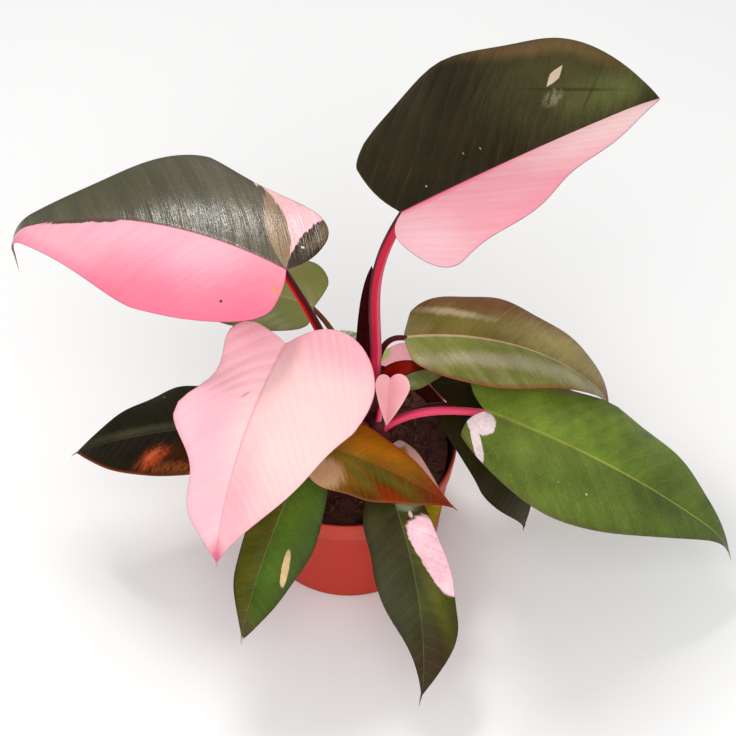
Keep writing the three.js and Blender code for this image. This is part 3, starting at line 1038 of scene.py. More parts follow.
class Blade:
    """Lays out one blade flat and bends it to its place, on the same surface as the solid leaf.

    Attributes:
        shape: The leaf's sizes.
        seed: Sets its slow swells apart from the other blades'.
        thickness: Thickness in the middle and at the margin, in millimetres.
        rows: Rows along the inner lobe, the outer lobe and the long margin.
        columns: Columns from midrib to margin.
        places: Points of the midrib at each station, in millimetres.
        forwards: Its direction there.
        rights: The direction to the blade's right there.
        ups: The direction out of its upper face there.
    """

    STATIONS = 40  # steps from base to tip
    HOOK_SHARE = 0.15  # the last share of the midrib, which the hook bends
    ROW_SPREAD = 1.1  # how far the rows' feet run towards the tip
    CREASE = 0.9  # half width of the rounded crease on the midrib, in millimetres
    THINNING = 6.0  # how far in the margin is thinned, in millimetres
    KEEL, KEEL_WIDTH = 1.3, 1.5  # depth and half width of the keel under the midrib
    KEEL_END = 1.2  # where it would run out, as a share of the length

    def __init__(self, shape: LeafShape, seed: int) -> None:
        """Works out the midrib.

        Args:
            shape: The leaf's sizes.
            seed: Sets this blade's slow swells apart from the others'.
        """
        self.shape = shape
        self.seed = seed
        self.thickness: Pair = (0.55, 0.3)
        self.rows = (8, 18, 64) if shape.large else (6, 14, 36)
        self.columns = 20 if shape.large else 14
        self._follow_midrib()

    def _follow_midrib(self) -> None:
        """Follows the midrib from base to tip and keeps its places and directions."""
        s = self.shape
        forward = heading(s.heading, s.pitch)
        level = np.array([sin(radians(s.heading)), -cos(radians(s.heading)), 0.0])
        right = turned(level, forward, radians(s.roll))
        up = np.cross(right, forward)
        place = np.array(s.at, float)
        kept: list[tuple[Array, ...]] = []
        per = radians(1) / self.STATIONS
        for k in range(self.STATIONS + 1):
            kept.append((place, forward, right, up))
            hooked = (k + 0.5) / self.STATIONS > 1 - self.HOOK_SHARE
            bend = -per * (s.droop + (s.hook / self.HOOK_SHARE if hooked else 0.0))
            forward, up = turned(forward, right, bend), turned(up, right, bend)
            forward, right = turned(forward, up, per * s.sweep), turned(right, up, per * s.sweep)
            right, up = turned(right, forward, per * s.twist), turned(up, forward, per * s.twist)
            place = place + forward * (s.length / self.STATIONS)
        self.places, self.forwards, self.rights, self.ups = (np.array(column) for column in zip(*kept))

    def _wave(self, side: int, along: Array) -> Array:
        """Returns the margin wave of one half, from -1 to 1, at distances along the midrib."""
        _, _, count, start = self.shape.waves[side]
        return np.sin(2 * pi * count * along / self.shape.length + radians(start))

    def bent(self, side: int, across: Array, along: Array, lift: Array) -> Array:
        """Bends points of the flat blade to their place.

        Args:
            side: 0 for the left half and 1 for the right.
            across: Distances from the midrib, all positive.
            along: Distances along it.
            lift: Heights above the middle of the blade's thickness.

        Returns:
            The points in millimetres.
        """
        s = self.shape
        fold, turn = radians(s.fold[side]), radians(s.cup[side]) / s.half[side]
        crease = self.CREASE * np.clip(1.1 - along / s.length, 0.2, 1.0)
        reach = np.sqrt(across**2 + crease**2)
        slope = fold - turn * across
        out = (sin(fold) - np.sin(slope)) / turn
        rise = (np.cos(fold - turn * reach) - np.cos(fold - turn * crease)) / turn
        share = across / s.half[side]
        rise = rise + s.waves[side][0] * share**2 * self._wave(side, along)
        rise = rise + self._swell(side, across, along)
        station = np.clip(along / s.length, 0, 1) * self.STATIONS
        place = eased(self.places, station) + np.minimum(along, 0)[:, None] * self.forwards[0]
        right, up = unit(eased(self.rights, station)), unit(eased(self.ups, station))
        tilt = np.sin(slope) * np.clip(across / self.KEEL_WIDTH, 0, 1)
        sideways = (-1 if side == 0 else 1) * (out - lift * tilt)
        return place + right * sideways[:, None] + up * (rise + lift * np.cos(slope))[:, None]

    def _swell(self, side: int, across: Array, along: Array) -> Array:
        """Returns the slow uneven swells of a living blade, in millimetres, level along the midrib."""
        phase = self.seed * 1.7 + side * 2.3
        away = np.clip(across / (0.4 * self.shape.half[side]), 0, 1)
        slow = np.sin(along / 17 + across / 23 + phase)
        quick = np.sin(along / 9.5 - across / 13 + 2 * phase)
        return 0.28 * away * (slow + 0.6 * quick)

    def _margin(self, side: int) -> tuple[Array, Array]:
        """Follows the margin of one half from the notch round the lobe to the tip.

        Args:
            side: 0 for the left half and 1 for the right.

        Returns:
            The margin's points as distances across and along, and each one's foot on the midrib.
        """
        s = self.shape
        width, lobe, length = s.half[side], s.lobe[side], s.length
        widest = s.widest[side] * length
        rest = length - widest
        tail = (s.point[side] * width, widest + 0.8 * rest)
        foot, bulge = (0.45 * width, -lobe), (width, widest)
        curves = [
            [(0, 0), (0.1 * width, -0.5 * lobe), (0.22 * width, -lobe), foot],
            [foot, (s.shoulder[side] * width, -lobe), (width, 0.35 * widest), bulge],
            [bulge, (width, widest + s.belly[side] * rest), tail, (0, length)],
        ]
        solid_rows = (2, 4, 9) if s.large else (2, 3, 6)
        points, index = [np.zeros((1, 2))], [np.zeros(1)]
        passed = 0
        for corners, fine, coarse in zip(curves, self.rows, solid_rows):
            t = np.linspace(0, 1, fine + 1)[1:]
            points.append(cubic(corners, t))
            index.append(passed + t * coarse)
            passed += coarse
        margin, number = np.concatenate(points), np.concatenate(index)
        margin[:, 0] *= 1 + s.waves[side][1] * self._wave(side, margin[:, 1])
        first = solid_rows[0] + 1
        feet = length * np.clip((number - first) / (passed - first), 0, 1) ** self.ROW_SPREAD
        return margin, feet

    def _spread(self) -> Array:
        """Returns the columns' shares of the way from midrib to margin, closer together at both ends."""
        even = np.linspace(0, 1, self.columns)
        return even - 0.09 * np.sin(2 * pi * even)

    def add_to(self, parts: MeshParts, slot: int) -> None:
        """Adds the blade to a mesh.

        Args:
            parts: The mesh that it joins.
            slot: Its material slot.
        """
        s = self.shape
        thick, thin = self.thickness
        shares = self._spread()
        for side in (0, 1):
            sign = -1 if side == 0 else 1
            margin, feet = self._margin(side)
            across = margin[:, :1] * shares
            along = feet[:, None] + (margin[:, 1:] - feet[:, None]) * shares
            rim = np.hypot(margin[:, :1], margin[:, 1:] - feet[:, None]) * (1 - shares)
            half_thick = 0.5 * (thin + (thick - thin) * np.clip(rim / self.THINNING, 0, 1))
            depth = np.clip(self.KEEL_END - along / s.length, 0, 1)
            keel = self.KEEL * depth * np.exp(-((across / self.KEEL_WIDTH) ** 2))
            firsts = []
            for face in (1, -1):
                lift = face * half_thick - (keel if face < 0 else 0)
                points = self.bent(side, across.ravel(), along.ravel(), lift.ravel())
                place = np.stack([sign * across, along, np.zeros_like(across)], axis=-1)
                edge = np.stack([rim, np.full_like(rim, face), np.zeros_like(rim)], axis=-1)
                firsts.append(parts.block(points * MM, place, edge))
                parts.grid(firsts[-1], len(margin), self.columns, flip=sign * face < 0, slot=slot)
            for i in range(len(margin) - 1):
                row = [first + i * self.columns + self.columns - 1 for first in firsts]
                after = [corner + self.columns for corner in row]
                wall = (row[0], row[1], after[1], after[0])
                parts.face(wall if sign > 0 else wall[::-1], slot)

    def add_spur(self, parts: MeshParts, slot: int, length: float) -> None:
        """Adds the thin dried point that hangs from the tip.

        Args:
            parts: The mesh that it joins.
            slot: Its material slot.
            length: How far it hangs, in millimetres.
        """
        steps = np.linspace(0, 1, 9)
        way, down = self.forwards[-1], np.array([0.0, 0.0, -1.0])
        ahead = (2.5 + length) * steps
        line = self.places[-1] - 2.5 * way + way * ahead[:, None] + down * (0.35 * length * steps**3)[:, None]
        Rod(line * MM, (0.55 - 0.45 * steps) * MM, sides=8).add_to(parts, slot, LIGHT_SIDE)
        parts.places[-1][:] = (0.0, self.shape.length, 0.0)
        parts.edges[-1][:] = (0.2, 1.0, 0.0)


@dataclass
class Leaf:
    """One leaf: its blade, and the petiole that carries it.

    Attributes:
        name: The leaf's name, which is its CAD node's.
        shape: Its sizes.
        finish: Its blade's colours.
        rod: Its petiole's skin.
        slot: A finish name, which is not used.
        spur: Length of the thin dried point on its tip, in millimetres.
        number: Its place in the list, which seeds its streaks and swells.
    """

    BOW = 0.42  # how far the petiole keeps its headings, as a share of its span
    SWELLING = 0.9  # of its foot round the stem, in millimetres
    SEED_STEP = 5.3  # sets the leaves' streaks apart
    WELD = 2e-6  # points closer than this become one

    name: str
    shape: LeafShape
    finish: BladeFinish
    rod: RodFinish
    slot: str
    spur: float = 2.0
    number: int = 0

    def _petiole(self, blade: Blade, stem: StemShape) -> Rod:
        """Lays the petiole from its stem to the blade.

        Args:
            blade: The blade that it carries.
            stem: The stem that it leaves.

        Returns:
            The petiole.
        """
        s = self.shape
        start = stem.at(s.height)
        end = blade.places[0] - blade.ups[0] + 2 * blade.forwards[0]
        bow = self.BOW * float(np.linalg.norm(end - start))
        corners = [start, start + bow * heading(*s.leave), end - bow * heading(*s.arrive), end]
        dense = cubic(corners, np.linspace(0, 1, 400))
        length = np.concatenate([[0.0], np.cumsum(np.linalg.norm(np.diff(dense, axis=0), axis=1))])
        t = np.linspace(0, 1, 70)
        line = np.column_stack([np.interp(t * length[-1], length, dense[:, k]) for k in range(3)])
        foot, top = s.petiole
        radius = top + (foot - top) * (1 - t) + self.SWELLING * np.exp(-14 * t)
        radius = radius * np.clip((1 - t) / 0.02 + 0.35, 0, 1)
        return Rod(line * MM, radius * MM, sides=22, channel=0.14)

    def build(self, stems: dict[str, StemShape], effects: LeafEffects) -> Object:
        """Builds and dresses the leaf.

        Args:
            stems: The stems by name.
            effects: The shared node groups.

        Returns:
            The leaf, which stands for its CAD node.
        """
        blade = Blade(self.shape, self.number)
        parts = MeshParts()
        blade.add_to(parts, 0)
        if self.spur:
            blade.add_spur(parts, 0, self.spur)
        if self.shape.stem:
            self._petiole(blade, stems[self.shape.stem]).add_to(parts, 1, LIGHT_SIDE)
        skin = self.finish.material(self.name, self.shape.length, self.number * self.SEED_STEP, effects)
        return parts.piece(self.name, skin, self.rod.material(self.name, effects), weld=self.WELD)


# ---------------- the plant's own leaves

# Rod skins: each is painted lighter on its lit side and darker on its shaded side, and a glint is a painted
# highlight
CRIMSON = RodFinish("c0203c", "340208", -0.3, 0.25, "e05c7c", glint="f090a8", shine=0.35)
# painted light and shade swapped here: the side towards the right front is painted shaded and the other side
# lit
CRIMSON_LEFT = RodFinish("480004", "d0000c", 0.4, 0.25, "d02840")
ROSE = RodFinish("e4486c", "a0102c", -0.1, 0.35, "f490a8", top="dc5878", glint="f4a8b8")
MAROON = RodFinish("520c12", "2a0608", 0.0, 0.6, "6c1c20")
BROWN = RodFinish("6a3c24", "3a1c10", 0.0, 0.6, "8a5c3a")
PALE_GREEN = RodFinish("9aa070", "6a5a40", 0.0, 0.6, "c0c49a")

STEMS: dict[str, StemShape] = {
    "back": StemShape((8, 8, 50), (13, 6, 118), 5.5),
    "right": StemShape((20, -12, 50), (16, -9, 108), 4.5),
    "front": StemShape((-8, -10, 50), (-6, -15, 104), 4.5),
}
# the stems' skin is painted lit and shaded in the same way
STEM_SKIN = RodFinish("5e2a26", "2c1010", 0.0, 0.7, "7d5a3c", roughness=0.5)


def tall_right() -> Leaf:
    """Returns the tallest leaf, near black on its far half and pink on its near half."""
    shape = LeafShape(
        "back", (27, 3, 252), 30, 6, 149, (61, 54), (9, 13.5), 6, height=110, twist=-14, widest=(0.44, 0.05),
        shoulder=(0.55, 1.1), belly=(0.41, 0.1), point=(1.24, 0.6), fold=(32, 20), cup=(18, 10),
        waves=((1, 0.04, 1.7, 195), (1.5, 0.07, 2.5, 170)), leave=(0, 82), arrive=(0, 65), petiole=(3.4, 2.5),
    )
    finish = BladeFinish(
        Tone("1c180a", "302814", 0.6, "40341c", 5, uneven=1.3),
        Tone("e597a4", "ecaab4", 0.6, "e48a9e", 4, 0.35, uneven=0.15),
        marks=(
            Patch("4a4626", (-30, 112), (32, 34), LEFT, 0.8, ragged=1.2),
            Patch("6b5030", (-54, 102), (5, 30), LEFT, 0.7, ragged=1, turn=-15),
            Patch("66502c", (-34, 134), (5, 26), LEFT, 0.6, ragged=1, turn=-50),
            Patch("5c6234", (-12, 126), (9, 20), LEFT, 0.7, ragged=1.2),
            Patch("1c180a", (-21, 110), (0.9, 20), LEFT, 0.6, ragged=1.6, turn=-24),
            Patch("201c0c", (-15, 116), (0.7, 11), LEFT, 0.5, ragged=1.6, turn=38),
            Patch("8b8268", (-21, 98), (3.4, 6), LEFT, 0.6, soft=0.5, ragged=1.2, turn=20, broken=0.9),
            Patch("2c2514", (-34, 14), (22, 30), LEFT, 0.6, soft=0.8),
            Patch("c9b39a", (-31.8, 105.8), (2.4, 8.4), soft=0.1, ragged=0.2, turn=30, corner=1.15),
            Patch("8f8870", (-13.1, 41.5), (0.7, 0.3), soft=0.5, ragged=0.3),
            Patch("8f8870", (-11.9, 50.4), (0.7, 0.3), soft=0.5, ragged=0.3),
            Patch("a09880", (-6.2, 16.8), (0.5, 0.4), soft=0.5, ragged=0.3),
            Patch("ee8ea4", (46, 62), (8, 26), RIGHT, 0.55, soft=0.8),
            Patch("f6d0cf", (12, 120), (20, 44), RIGHT, 0.95),
            Patch("eebec4", (32, -4), (28, 16), RIGHT, 0.8),
            Patch("e2587f", (0.4, 20), (2.4, 40), RIGHT, 0.6, soft=0.8, ragged=0.2),
        ),
        midrib=("8a2c48", 0.6), rib=0.6, veins=("5e5334", 0.12), under="6a3a3c", edge="6a4a48",
        roughness=0.42, fleck_share=0.01, lean=0.85, mottle=0.35, gloss=0.1,
    )
    return Leaf("leaf_tall_right", shape, finish, CRIMSON, "leaf_half_dark_half_pink", spur=0)


def tall_left() -> Leaf:
    """Returns the tall leaf on the left, pink on its near half and glossy olive on its far half."""
    shape = LeafShape(
        "back", (-29, 1, 215), 156, 16, 172, (46.5, 47.5), (4.5, 10), 50, height=94, sweep=14, hook=60,
        widest=(0.38, 0.35), shoulder=(0.73, 0.8), belly=(0.2, 0.1), point=(0.1, 0), fold=(-6, 19),
        cup=(30, 30), waves=((1, 0.01, 3, 0), (1, 0.13, 1.7, 167)), leave=(190, 68), arrive=(173, 66),
        petiole=(2.9, 2),
    )
    finish = BladeFinish(
        Tone("f4a4b4", "f6b4c0", 0.6, "ea7c98", 9, 0.6, dull=0.4, uneven=0.3),
        Tone("443e2c", "665e4a", 0.9, "3e381a", 6, 0.6, brush=0.13, uneven=1.4),
        marks=(
            Patch("3a3a14", (26, 112), (24, 52), RIGHT, 0.75, soft=0.8),
            Patch("3c3a1e", (-0.4, 112), (2.4, 22), LEFT, soft=0.15, ragged=1.2),
            Patch("e85a7c", (-40, 54), (18, 62), LEFT, 0.8),
            Patch("e8587a", (-28, 2), (26, 24), LEFT, 0.75),
            Wedge("94795a", (-190, 66), RIGHT, 0.6, ragged=10),
            Wedge("6f5a44", (44, 50), RIGHT, 0.45, soft=3, share=0.75),
            Wedge("85714f", (27, 31), RIGHT, 0.1, share=0.5),
            Wedge("f8c0c4", (-190, 12), RIGHT, -0.55, reach=54, ragged=10),
            Wedge("32200e", (-190, 19), RIGHT, 0.62, ragged=12),
            Patch("7c6646", (32, -8), (4, 5), RIGHT, 0.7, soft=0.7, ragged=0.8, turn=-30),
            Patch("6c5638", (22, -5), (9, 3.4), RIGHT, 0.6, soft=0.6, ragged=0.9, turn=-14),
            Patch("e9e2cc", (14.7, -1.5), (0.6, 0.9), soft=0.4, ragged=0.3),
            Patch("e98b2e", (-12.6, -1.2), (1.3, 1.3), soft=0.6, ragged=0.2),
            Patch("241018", (-30, 21), (0.8, 0.8), soft=0.2, ragged=0.2),
            Patch("4a3a30", (0, 171), (5, 7), share=0.9, soft=0.4),
        ),
        midrib=("7a2a30", 0.75), rib=0.8, veins=("86806a", 0.1), under="9a6a6c", edge="8a4f5c",
        roughness=0.23, fleck_share=0.006, quilt=0.22, mottle=0.2, gloss=0.68,
    )
    return Leaf("leaf_tall_left", shape, finish, CRIMSON_LEFT, "leaf_olive_and_pink", spur=8)


def pink_front() -> Leaf:
    """Returns the large pink leaf at the front, cream in the middle of its wide half."""
    shape = LeafShape(
        "back", (-30, -15, 178), -119, -18, 118, (56, 31.5), (16, 2), 38, height=86, sweep=10, hook=10,
        widest=(0.25, 0.44), shoulder=(0.8, 0.77), belly=(0.12, 0.26), point=(0.2, 0.25), fold=(14, 28),
        cup=(25, 20), waves=((1.5, 0.07, 1.5, 86), (3, 0.14, 2.5, 72)), leave=(250, 38), arrive=(200, 35),
        petiole=(2.7, 2),
    )
    finish = BladeFinish(
        Tone("f3c0c4", "eeaeb6", 0.7, "ea9ca8", 5),
        Tone("f2bfc6", "edb0ba", 0.6, "e898a6", 4),
        marks=(
            Patch("f4cdc8", (-26, 42), (30, 40), share=0.9, ragged=0.3, turn=-8),
            Patch("eea3b0", (-26, -10), (36, 12), LEFT, 0.8, soft=0.8),
            Patch("f6acb8", (16, 4), (18, 20), RIGHT, 0.8),
            Patch("ee9fae", (17, 48), (9, 20), RIGHT, 0.5, soft=0.8),
            Patch("eeaeb8", (10, 86), (10, 24), RIGHT, 0.6, soft=0.8),
            Patch("eca8b4", (-6, 88), (9, 24), LEFT, 0.7),
            Patch("cc4a74", (0, 117), (3.6, 9), share=0.9),
            Patch("b8788a", (7, 32), (0.5, 2.8), share=0.6, soft=0.5, turn=-35),
        ),
        midrib=("e6889c", 0.4), rib=1.2, veins=("ee9fae", 0.08), under="e8a0b0", edge="a8707e",
        roughness=0.42, fleck="e49aa8", fleck_share=0.03, quilt=0.2, curl=0.012, mottle=0.07, gloss=0.25,
    )
    return Leaf("leaf_pink_front", shape, finish, CRIMSON, "leaf_pink")


def green_back() -> Leaf:
    """Returns the plain green leaf behind the tall ones."""
    shape = LeafShape(
        "back", (-18.5, 50, 134), 160, 6, 94, (27, 34), (2, 2), 30, height=82, hook=10, widest=(0.4, 0.3),
        shoulder=(0.7, 0.7), point=(0.1, 0.25), fold=(8, 8), leave=(150, 66), arrive=(145, 23),
        petiole=(2.2, 1.3),
    )
    finish = BladeFinish(
        Tone("74803a", "848646", 0.6, "585624", 4),
        Tone("80803c", "8c8646", 0.6, "605428", 4),
        marks=(Patch("6c6c2c", (0, 30), (34, 44), share=0.6, ragged=0.6),),
        midrib=("a39a62", 0.5), rib=0.8, veins=("7d7a4a", 0.25), under="7d8a58", edge="5a4028", roughness=0.4,
    )
    return Leaf("leaf_green_back", shape, finish, BROWN, "leaf_green")


def bronze_right() -> Leaf:
    """Returns the bronze leaf on the right, olive on its near half."""
    shape = LeafShape(
        "back", (30, 22, 140), 4, 6, 138, (33.5, 32), (-4.5, -2.5), 62, height=96, sweep=-8, hook=15,
        widest=(0.36, 0.35), shoulder=(0.5, 0.6), belly=(0.25, 0.23), point=(0.6, 0.15), fold=(12, 12),
        cup=(30, 30), leave=(58, 61), arrive=(5, -22), petiole=(2.4, 1.4),
    )
    finish = BladeFinish(
        Tone("665020", "80643a", 0.9, "5e3220", 8, 0.8),
        Tone("727a2c", "9a9460", 0.9, "8a4c2c", 4, 0.8),
        marks=(
            Patch("744622", (-26, 58), (9, 62), LEFT, 0.8, ragged=1.2, turn=-6),
            Patch("6c6a28", (-8, 36), (8, 44), LEFT, 0.6, ragged=1),
            # painted highlight: a pale streak on the far half that stands in for sheen
            Patch("c0b090", (-16, 28), (2.4, 16), LEFT, 0.6, soft=0.8, ragged=1.6, turn=-4),
            Patch("b0a268", (-12, 98), (12, 34), LEFT, 0.7, ragged=1.2),
            # painted highlight: a pale streak along the midrib on the near half that stands in for sheen
            Patch("b4aa8c", (15, 46), (4, 36), RIGHT, 0.8, ragged=2.2, turn=4),
            Patch("767f30", (7, 52), (5, 46), RIGHT, 0.6, ragged=0.8),
            # painted highlight: another pale sheen streak on the near half
            Patch("aca07c", (9, 84), (4, 40), RIGHT, 0.8, ragged=2, turn=6),
            Patch("6a3a2c", (0, 136), (9, 11), share=0.8, soft=0.8),
        ),
        midrib=("c2ac84", 0.8), rib=1.1, veins=("948a56", 0.25), under="7c3f3a", edge="7c2f26",
        roughness=0.38, fleck_share=0.012, mottle=0.45, gloss=0.15,
    )
    return Leaf("leaf_bronze_right", shape, finish, MAROON, "leaf_bronze", spur=5)


def green_right() -> Leaf:
    """Returns the long green leaf on the right, with a white-pink patch on its near lobe."""
    shape = LeafShape(
        "right", (73, -13, 121.5), -13, -16, 170, (43.5, 45), (12, 10), 26, height=100, hook=25,
        widest=(0.56, 0.28), shoulder=(1, 0.5), belly=(0.22, 0.38), point=(0.1, 0.05), fold=(6, 6),
        waves=((1.5, 0.03, 3, 0), (1.5, 0.02, 3, 0)), leave=(-5, 52), arrive=(-5, -3), petiole=(2.6, 2),
    )
    finish = BladeFinish(
        Tone("7c902e", "586e24", 0.8, "5f6a30", 4),
        Tone("66782c", "4c5c20", 0.9, "5a5434", 4, 0.7),
        marks=(
            Patch("6c8a2c", (-14, 80), (18, 44), LEFT, 0.3),
            Patch("84983a", (0, 24), (30, 34), share=0.5, ragged=1),
            Patch("6e8234", (20, 50), (14, 44), RIGHT, 0.5, ragged=1.2),
            Patch("4a5c26", (0, 134), (28, 46), share=0.7, ragged=0.8),
            Patch("52452c", (0, 168), (10, 14), share=0.8, soft=0.8),
            Patch("ffe9ea", (8.6, -1), (8.2, 7.8), RIGHT, soft=0.06, ragged=0.35, corner=2.2),
            Patch("ffe9ea", (21, -1), (14, 2.5), RIGHT, soft=0.1, turn=25),
        ),
        midrib=("a4a84a", 0.7), rib=1.3, veins=("8e9c48", 0.18), under="8a9068", edge="5a3a30", roughness=0.4,
        fleck="e8ead8", fleck_share=0.03, mottle=0.55, gloss=0.15,
    )
    return Leaf("leaf_green_right", shape, finish, ROSE, "leaf_green", spur=5)


def dark_right() -> Leaf:
    """Returns the near-black leaf under the long green one."""
    shape = LeafShape(
        "right", (55, 5, 106), -30, -5, 92, (24, 25), (19, 2), 80, height=88, sweep=-20, widest=(0.3, 0.53),
        shoulder=(0.85, 0.5), belly=(0.1, 0.44), point=(0, 0.2), fold=(10, -5), cup=(15, 10), leave=(40, 62),
        arrive=(0, -5), petiole=(2.4, 1.6),
    )
    finish = BladeFinish(
        Tone("2a220a", "302810", 0.6, "2c2014", 3),
        Tone("262008", "2e280e", 0.6, "1c170d", 3),
        marks=(Patch("3f3e20", (2, 84), (8, 12), share=0.5, soft=0.8),),
        midrib=("463a24", 0.4), rib=0.8, veins=("3d3620", 0.15), under="4a2426", edge="1a120c",
        roughness=0.42, fleck_share=0.02, gloss=0.15,
    )
    return Leaf("leaf_dark_right", shape, finish, MAROON, "leaf_dark")


def pink_small() -> Leaf:
    """Returns the small pink heart in the middle of the plant."""
    shape = LeafShape(
        "right", (22.5, -5, 138.5), -98, -50, 27, (11, 7.5), (3, 2), 20, height=104, widest=(0.15, 0.15),
        belly=(0.15, 0.15), fold=(15, 15), cup=(30, 30), waves=((0.3, 0, 2, 0), (0.3, 0, 2, 0)),
        leave=(60, 82), arrive=(-90, 20), petiole=(1.6, 1.1),
    )
    finish = BladeFinish(
        Tone("efaab0", "ea9ca4", 0.6, "f4c0c2", 2, 0.6),
        Tone("f2b4b8", "eda3aa", 0.6, "f4c0c2", 2, 0.6),
        marks=(Patch("e58a94", (0, 16), (4, 14), share=0.5),),
        midrib=("e28892", 0.4), rib=0.4, veins=("e6949e", 0.2), under="d88a96", edge="c07884", roughness=0.45,
        fleck_share=0, quilt=0.05, mottle=0.06,
    )
    return Leaf("leaf_pink_small", shape, finish, ROSE, "leaf_pink", spur=0)


def pale_back() -> Leaf:
    """Returns the small pale marbled leaf behind the big pink one."""
    shape = LeafShape(
        "back", (5, 33, 108), 112, 20, 25, (11, 11), (5, 5), 40, height=90, fold=(12, 12),
        waves=((0.6, 0, 2, 0), (0.6, 0, 2, 0)), leave=(100, 40), arrive=(105, 20), petiole=(1.8, 1.2),
    )
    finish = BladeFinish(
        Tone("9fb08c", "cdd6c4", 0.95, "c0ccb4", 2),
        Tone("9fb08c", "d3dbca", 0.95, "c0ccb4", 2),
        marks=(Patch("6f8a58", (3, 12), (8, 9), soft=0.5, ragged=1.4, broken=0.8),),
        midrib=("c8d2b0", 0.5), rib=0.5, veins=("e0e6d6", 0.4), under="b4c0a0", edge="8a9474", roughness=0.45,
        quilt=0.06,
    )
    return Leaf("leaf_pale_back", shape, finish, PALE_GREEN, "leaf_pale")


def pink_back() -> Leaf:
    """Returns the small leaf of pink, fresh green and olive behind the bronze one."""
    shape = LeafShape(
        "back", (24, 23, 114), 0, 16, 36, (17, 17), (9, 9), 25, height=82, fold=(12, 12),
        waves=((0.6, 0, 2, 0), (0.6, 0, 2, 0)), leave=(30, 38), arrive=(70, 45), petiole=(1.7, 1.1),
    )
    finish = BladeFinish(
        Tone("f7a6b4", "f9bac4", 0.6, "ef93a8", 2),
        Tone("76803a", "8c9452", 0.7, "5c6030", 2),
        marks=(
            Patch("a3ba5a", (-12, -6.5), (7, 6), LEFT, soft=0.25, ragged=0.8),
            Patch("c8d494", (-13, -5), (2.5, 2), LEFT, 0.7, soft=0.6),
        ),
        midrib=("c8d08a", 0.5), rib=0.5, veins=("b0b870", 0.2), under="b08a78", edge="7a6a4a", roughness=0.42,
        quilt=0.06, mottle=0.12,
    )
    return Leaf("leaf_pink_back", shape, finish, PALE_GREEN, "leaf_pink")


def bronze_front() -> Leaf:
    """Returns the orange-brown leaf over the pot's front rim."""
    shape = LeafShape(
        "front", (-9, -34, 116), -20, 0, 73, (21, 24), (8, 8), 30, height=100, widest=(0.15, 0.2),
        shoulder=(0.85, 1.05), belly=(0.3, 0.45), point=(0.1, 0.2), cup=(20, 20),
        waves=((0.8, 0.02, 2, 0), (0.8, 0.04, 3, 0)), leave=(-120, 60), arrive=(-60, 20), petiole=(2.1, 1.4),
    )
    finish = BladeFinish(
        Tone("905000", "704c00", 0.8, "962410", 2.5, 0.85),
        Tone("6a4004", "4c2c00", 0.8, "986c40", 2, 0.6),
        marks=(
            Patch("b88a24", (6, 12), (8, 10), share=0.8, ragged=1.6),
            Patch("92661c", (14, 17), (7, 10), RIGHT, 0.7, ragged=1.4),
            Patch("5c6320", (3.5, 26), (3.2, 22), share=0.75, ragged=1.4, turn=-8),
            Patch("6c6a26", (12, 22), (2.6, 14), RIGHT, 0.8, soft=0.8, ragged=1.4, turn=-24),
            Patch("a8680c", (-7, 24), (5, 22), LEFT, 0.5, ragged=1.4),
            Patch("6a4a16", (-2, 44), (5, 18), share=0.7, ragged=1),
            Patch("942404", (15, 38), (4, 8), RIGHT, 0.75, ragged=1),
            Patch("c4a078", (17, 2), (10, 11), RIGHT, 0.9, soft=0.3, ragged=1, turn=10),
            Patch("7c2616", (0, 66), (9, 12), share=0.9),
        ),
        midrib=("8a4a1c", 0.4), rib=0.7, veins=("b8842e", 0.12), under="7a4034", edge="8c2418", roughness=0.4,
        fleck_share=0.01, mottle=0.4, gloss=0.08,
    )
    return Leaf("leaf_bronze_front", shape, finish, MAROON, "leaf_bronze")


def yellowing_front() -> Leaf:
    """Returns the leaf that turns yellow, with a cream band at its base."""
    shape = LeafShape(
        "front", (23, -18, 97), -66, 5, 56, (14.5, 16), (2, 4), 60, height=86, widest=(0.6, 0.4),
        shoulder=(0.5, 0.85), waves=((0.6, 0.02, 2, 0), (0.6, 0.02, 2, 0)), leave=(0, 30), arrive=(-20, 10),
        petiole=(1.8, 1.2),
    )
    finish = BladeFinish(
        Tone("a08600", "8c7000", 0.8, "7c5a24", 2),
        Tone("908400", "786400", 0.8, "7c6a2c", 2),
        marks=(
            Patch("d4a897", (-11, 18), (6, 19), soft=0.2, ragged=0.6),
            Patch("d9b7c4", (-4, -1), (7, 4.5), soft=0.3, ragged=0.7),
            Patch("5c2418", (-16.5, 22), (2.2, 18), LEFT, 0.9, soft=0.6),
        ),
        midrib=("b0a04c", 0.5), rib=0.6, veins=("a89a3c", 0.3), under="8a8040", edge="5a2a1c", roughness=0.42,
        gloss=0.1,
    )
    return Leaf("leaf_yellowing_front", shape, finish, PALE_GREEN, "leaf_yellowing")


def green_front() -> Leaf:
    """Returns the green leaf that hangs down over the pot on the left."""
    shape = LeafShape(
        "front", (-22, -34, 108), -115.5, -18, 105, (23.5, 14.5), (4, 4), 40, height=95, hook=15,
        widest=(0.4, 0.55), shoulder=(0.5, 0.5), belly=(0.27, 0.4), point=(0.4, 0), leave=(-120, 50),
        arrive=(-115, 15), petiole=(2.3, 1.6),
    )
    finish = BladeFinish(
        Tone("3c5212", "48601a", 0.7, "2c3010", 4, 0.6),
        Tone("484806", "545410", 0.7, "2c2c0c", 4, 0.7),
        marks=(
            Patch("527020", (-8, 48), (7, 30), LEFT, 0.7, ragged=0.9),
            Patch("3c4420", (-16, 74), (8, 26), LEFT, 0.5),
            Patch("d8b884", (-13, 57.5), (1.9, 9.8), soft=0.1, ragged=0.6, turn=8, corner=2.2),
            Patch("4c3c22", (0, 98), (8, 11), share=0.7, soft=0.8),
            Patch("ddd6c8", (0, 105), (2.4, 2.4), share=0.9, soft=0.5),
        ),
        midrib=("7f8a50", 0.5), rib=0.5, veins=("6a7a38", 0.25), under="6a6a48", edge="3a2a1e",
        roughness=0.38, fleck_share=0.03, mottle=0.45, gloss=0.12,
    )
    return Leaf("leaf_green_front", shape, finish, MAROON, "leaf_green", spur=3)


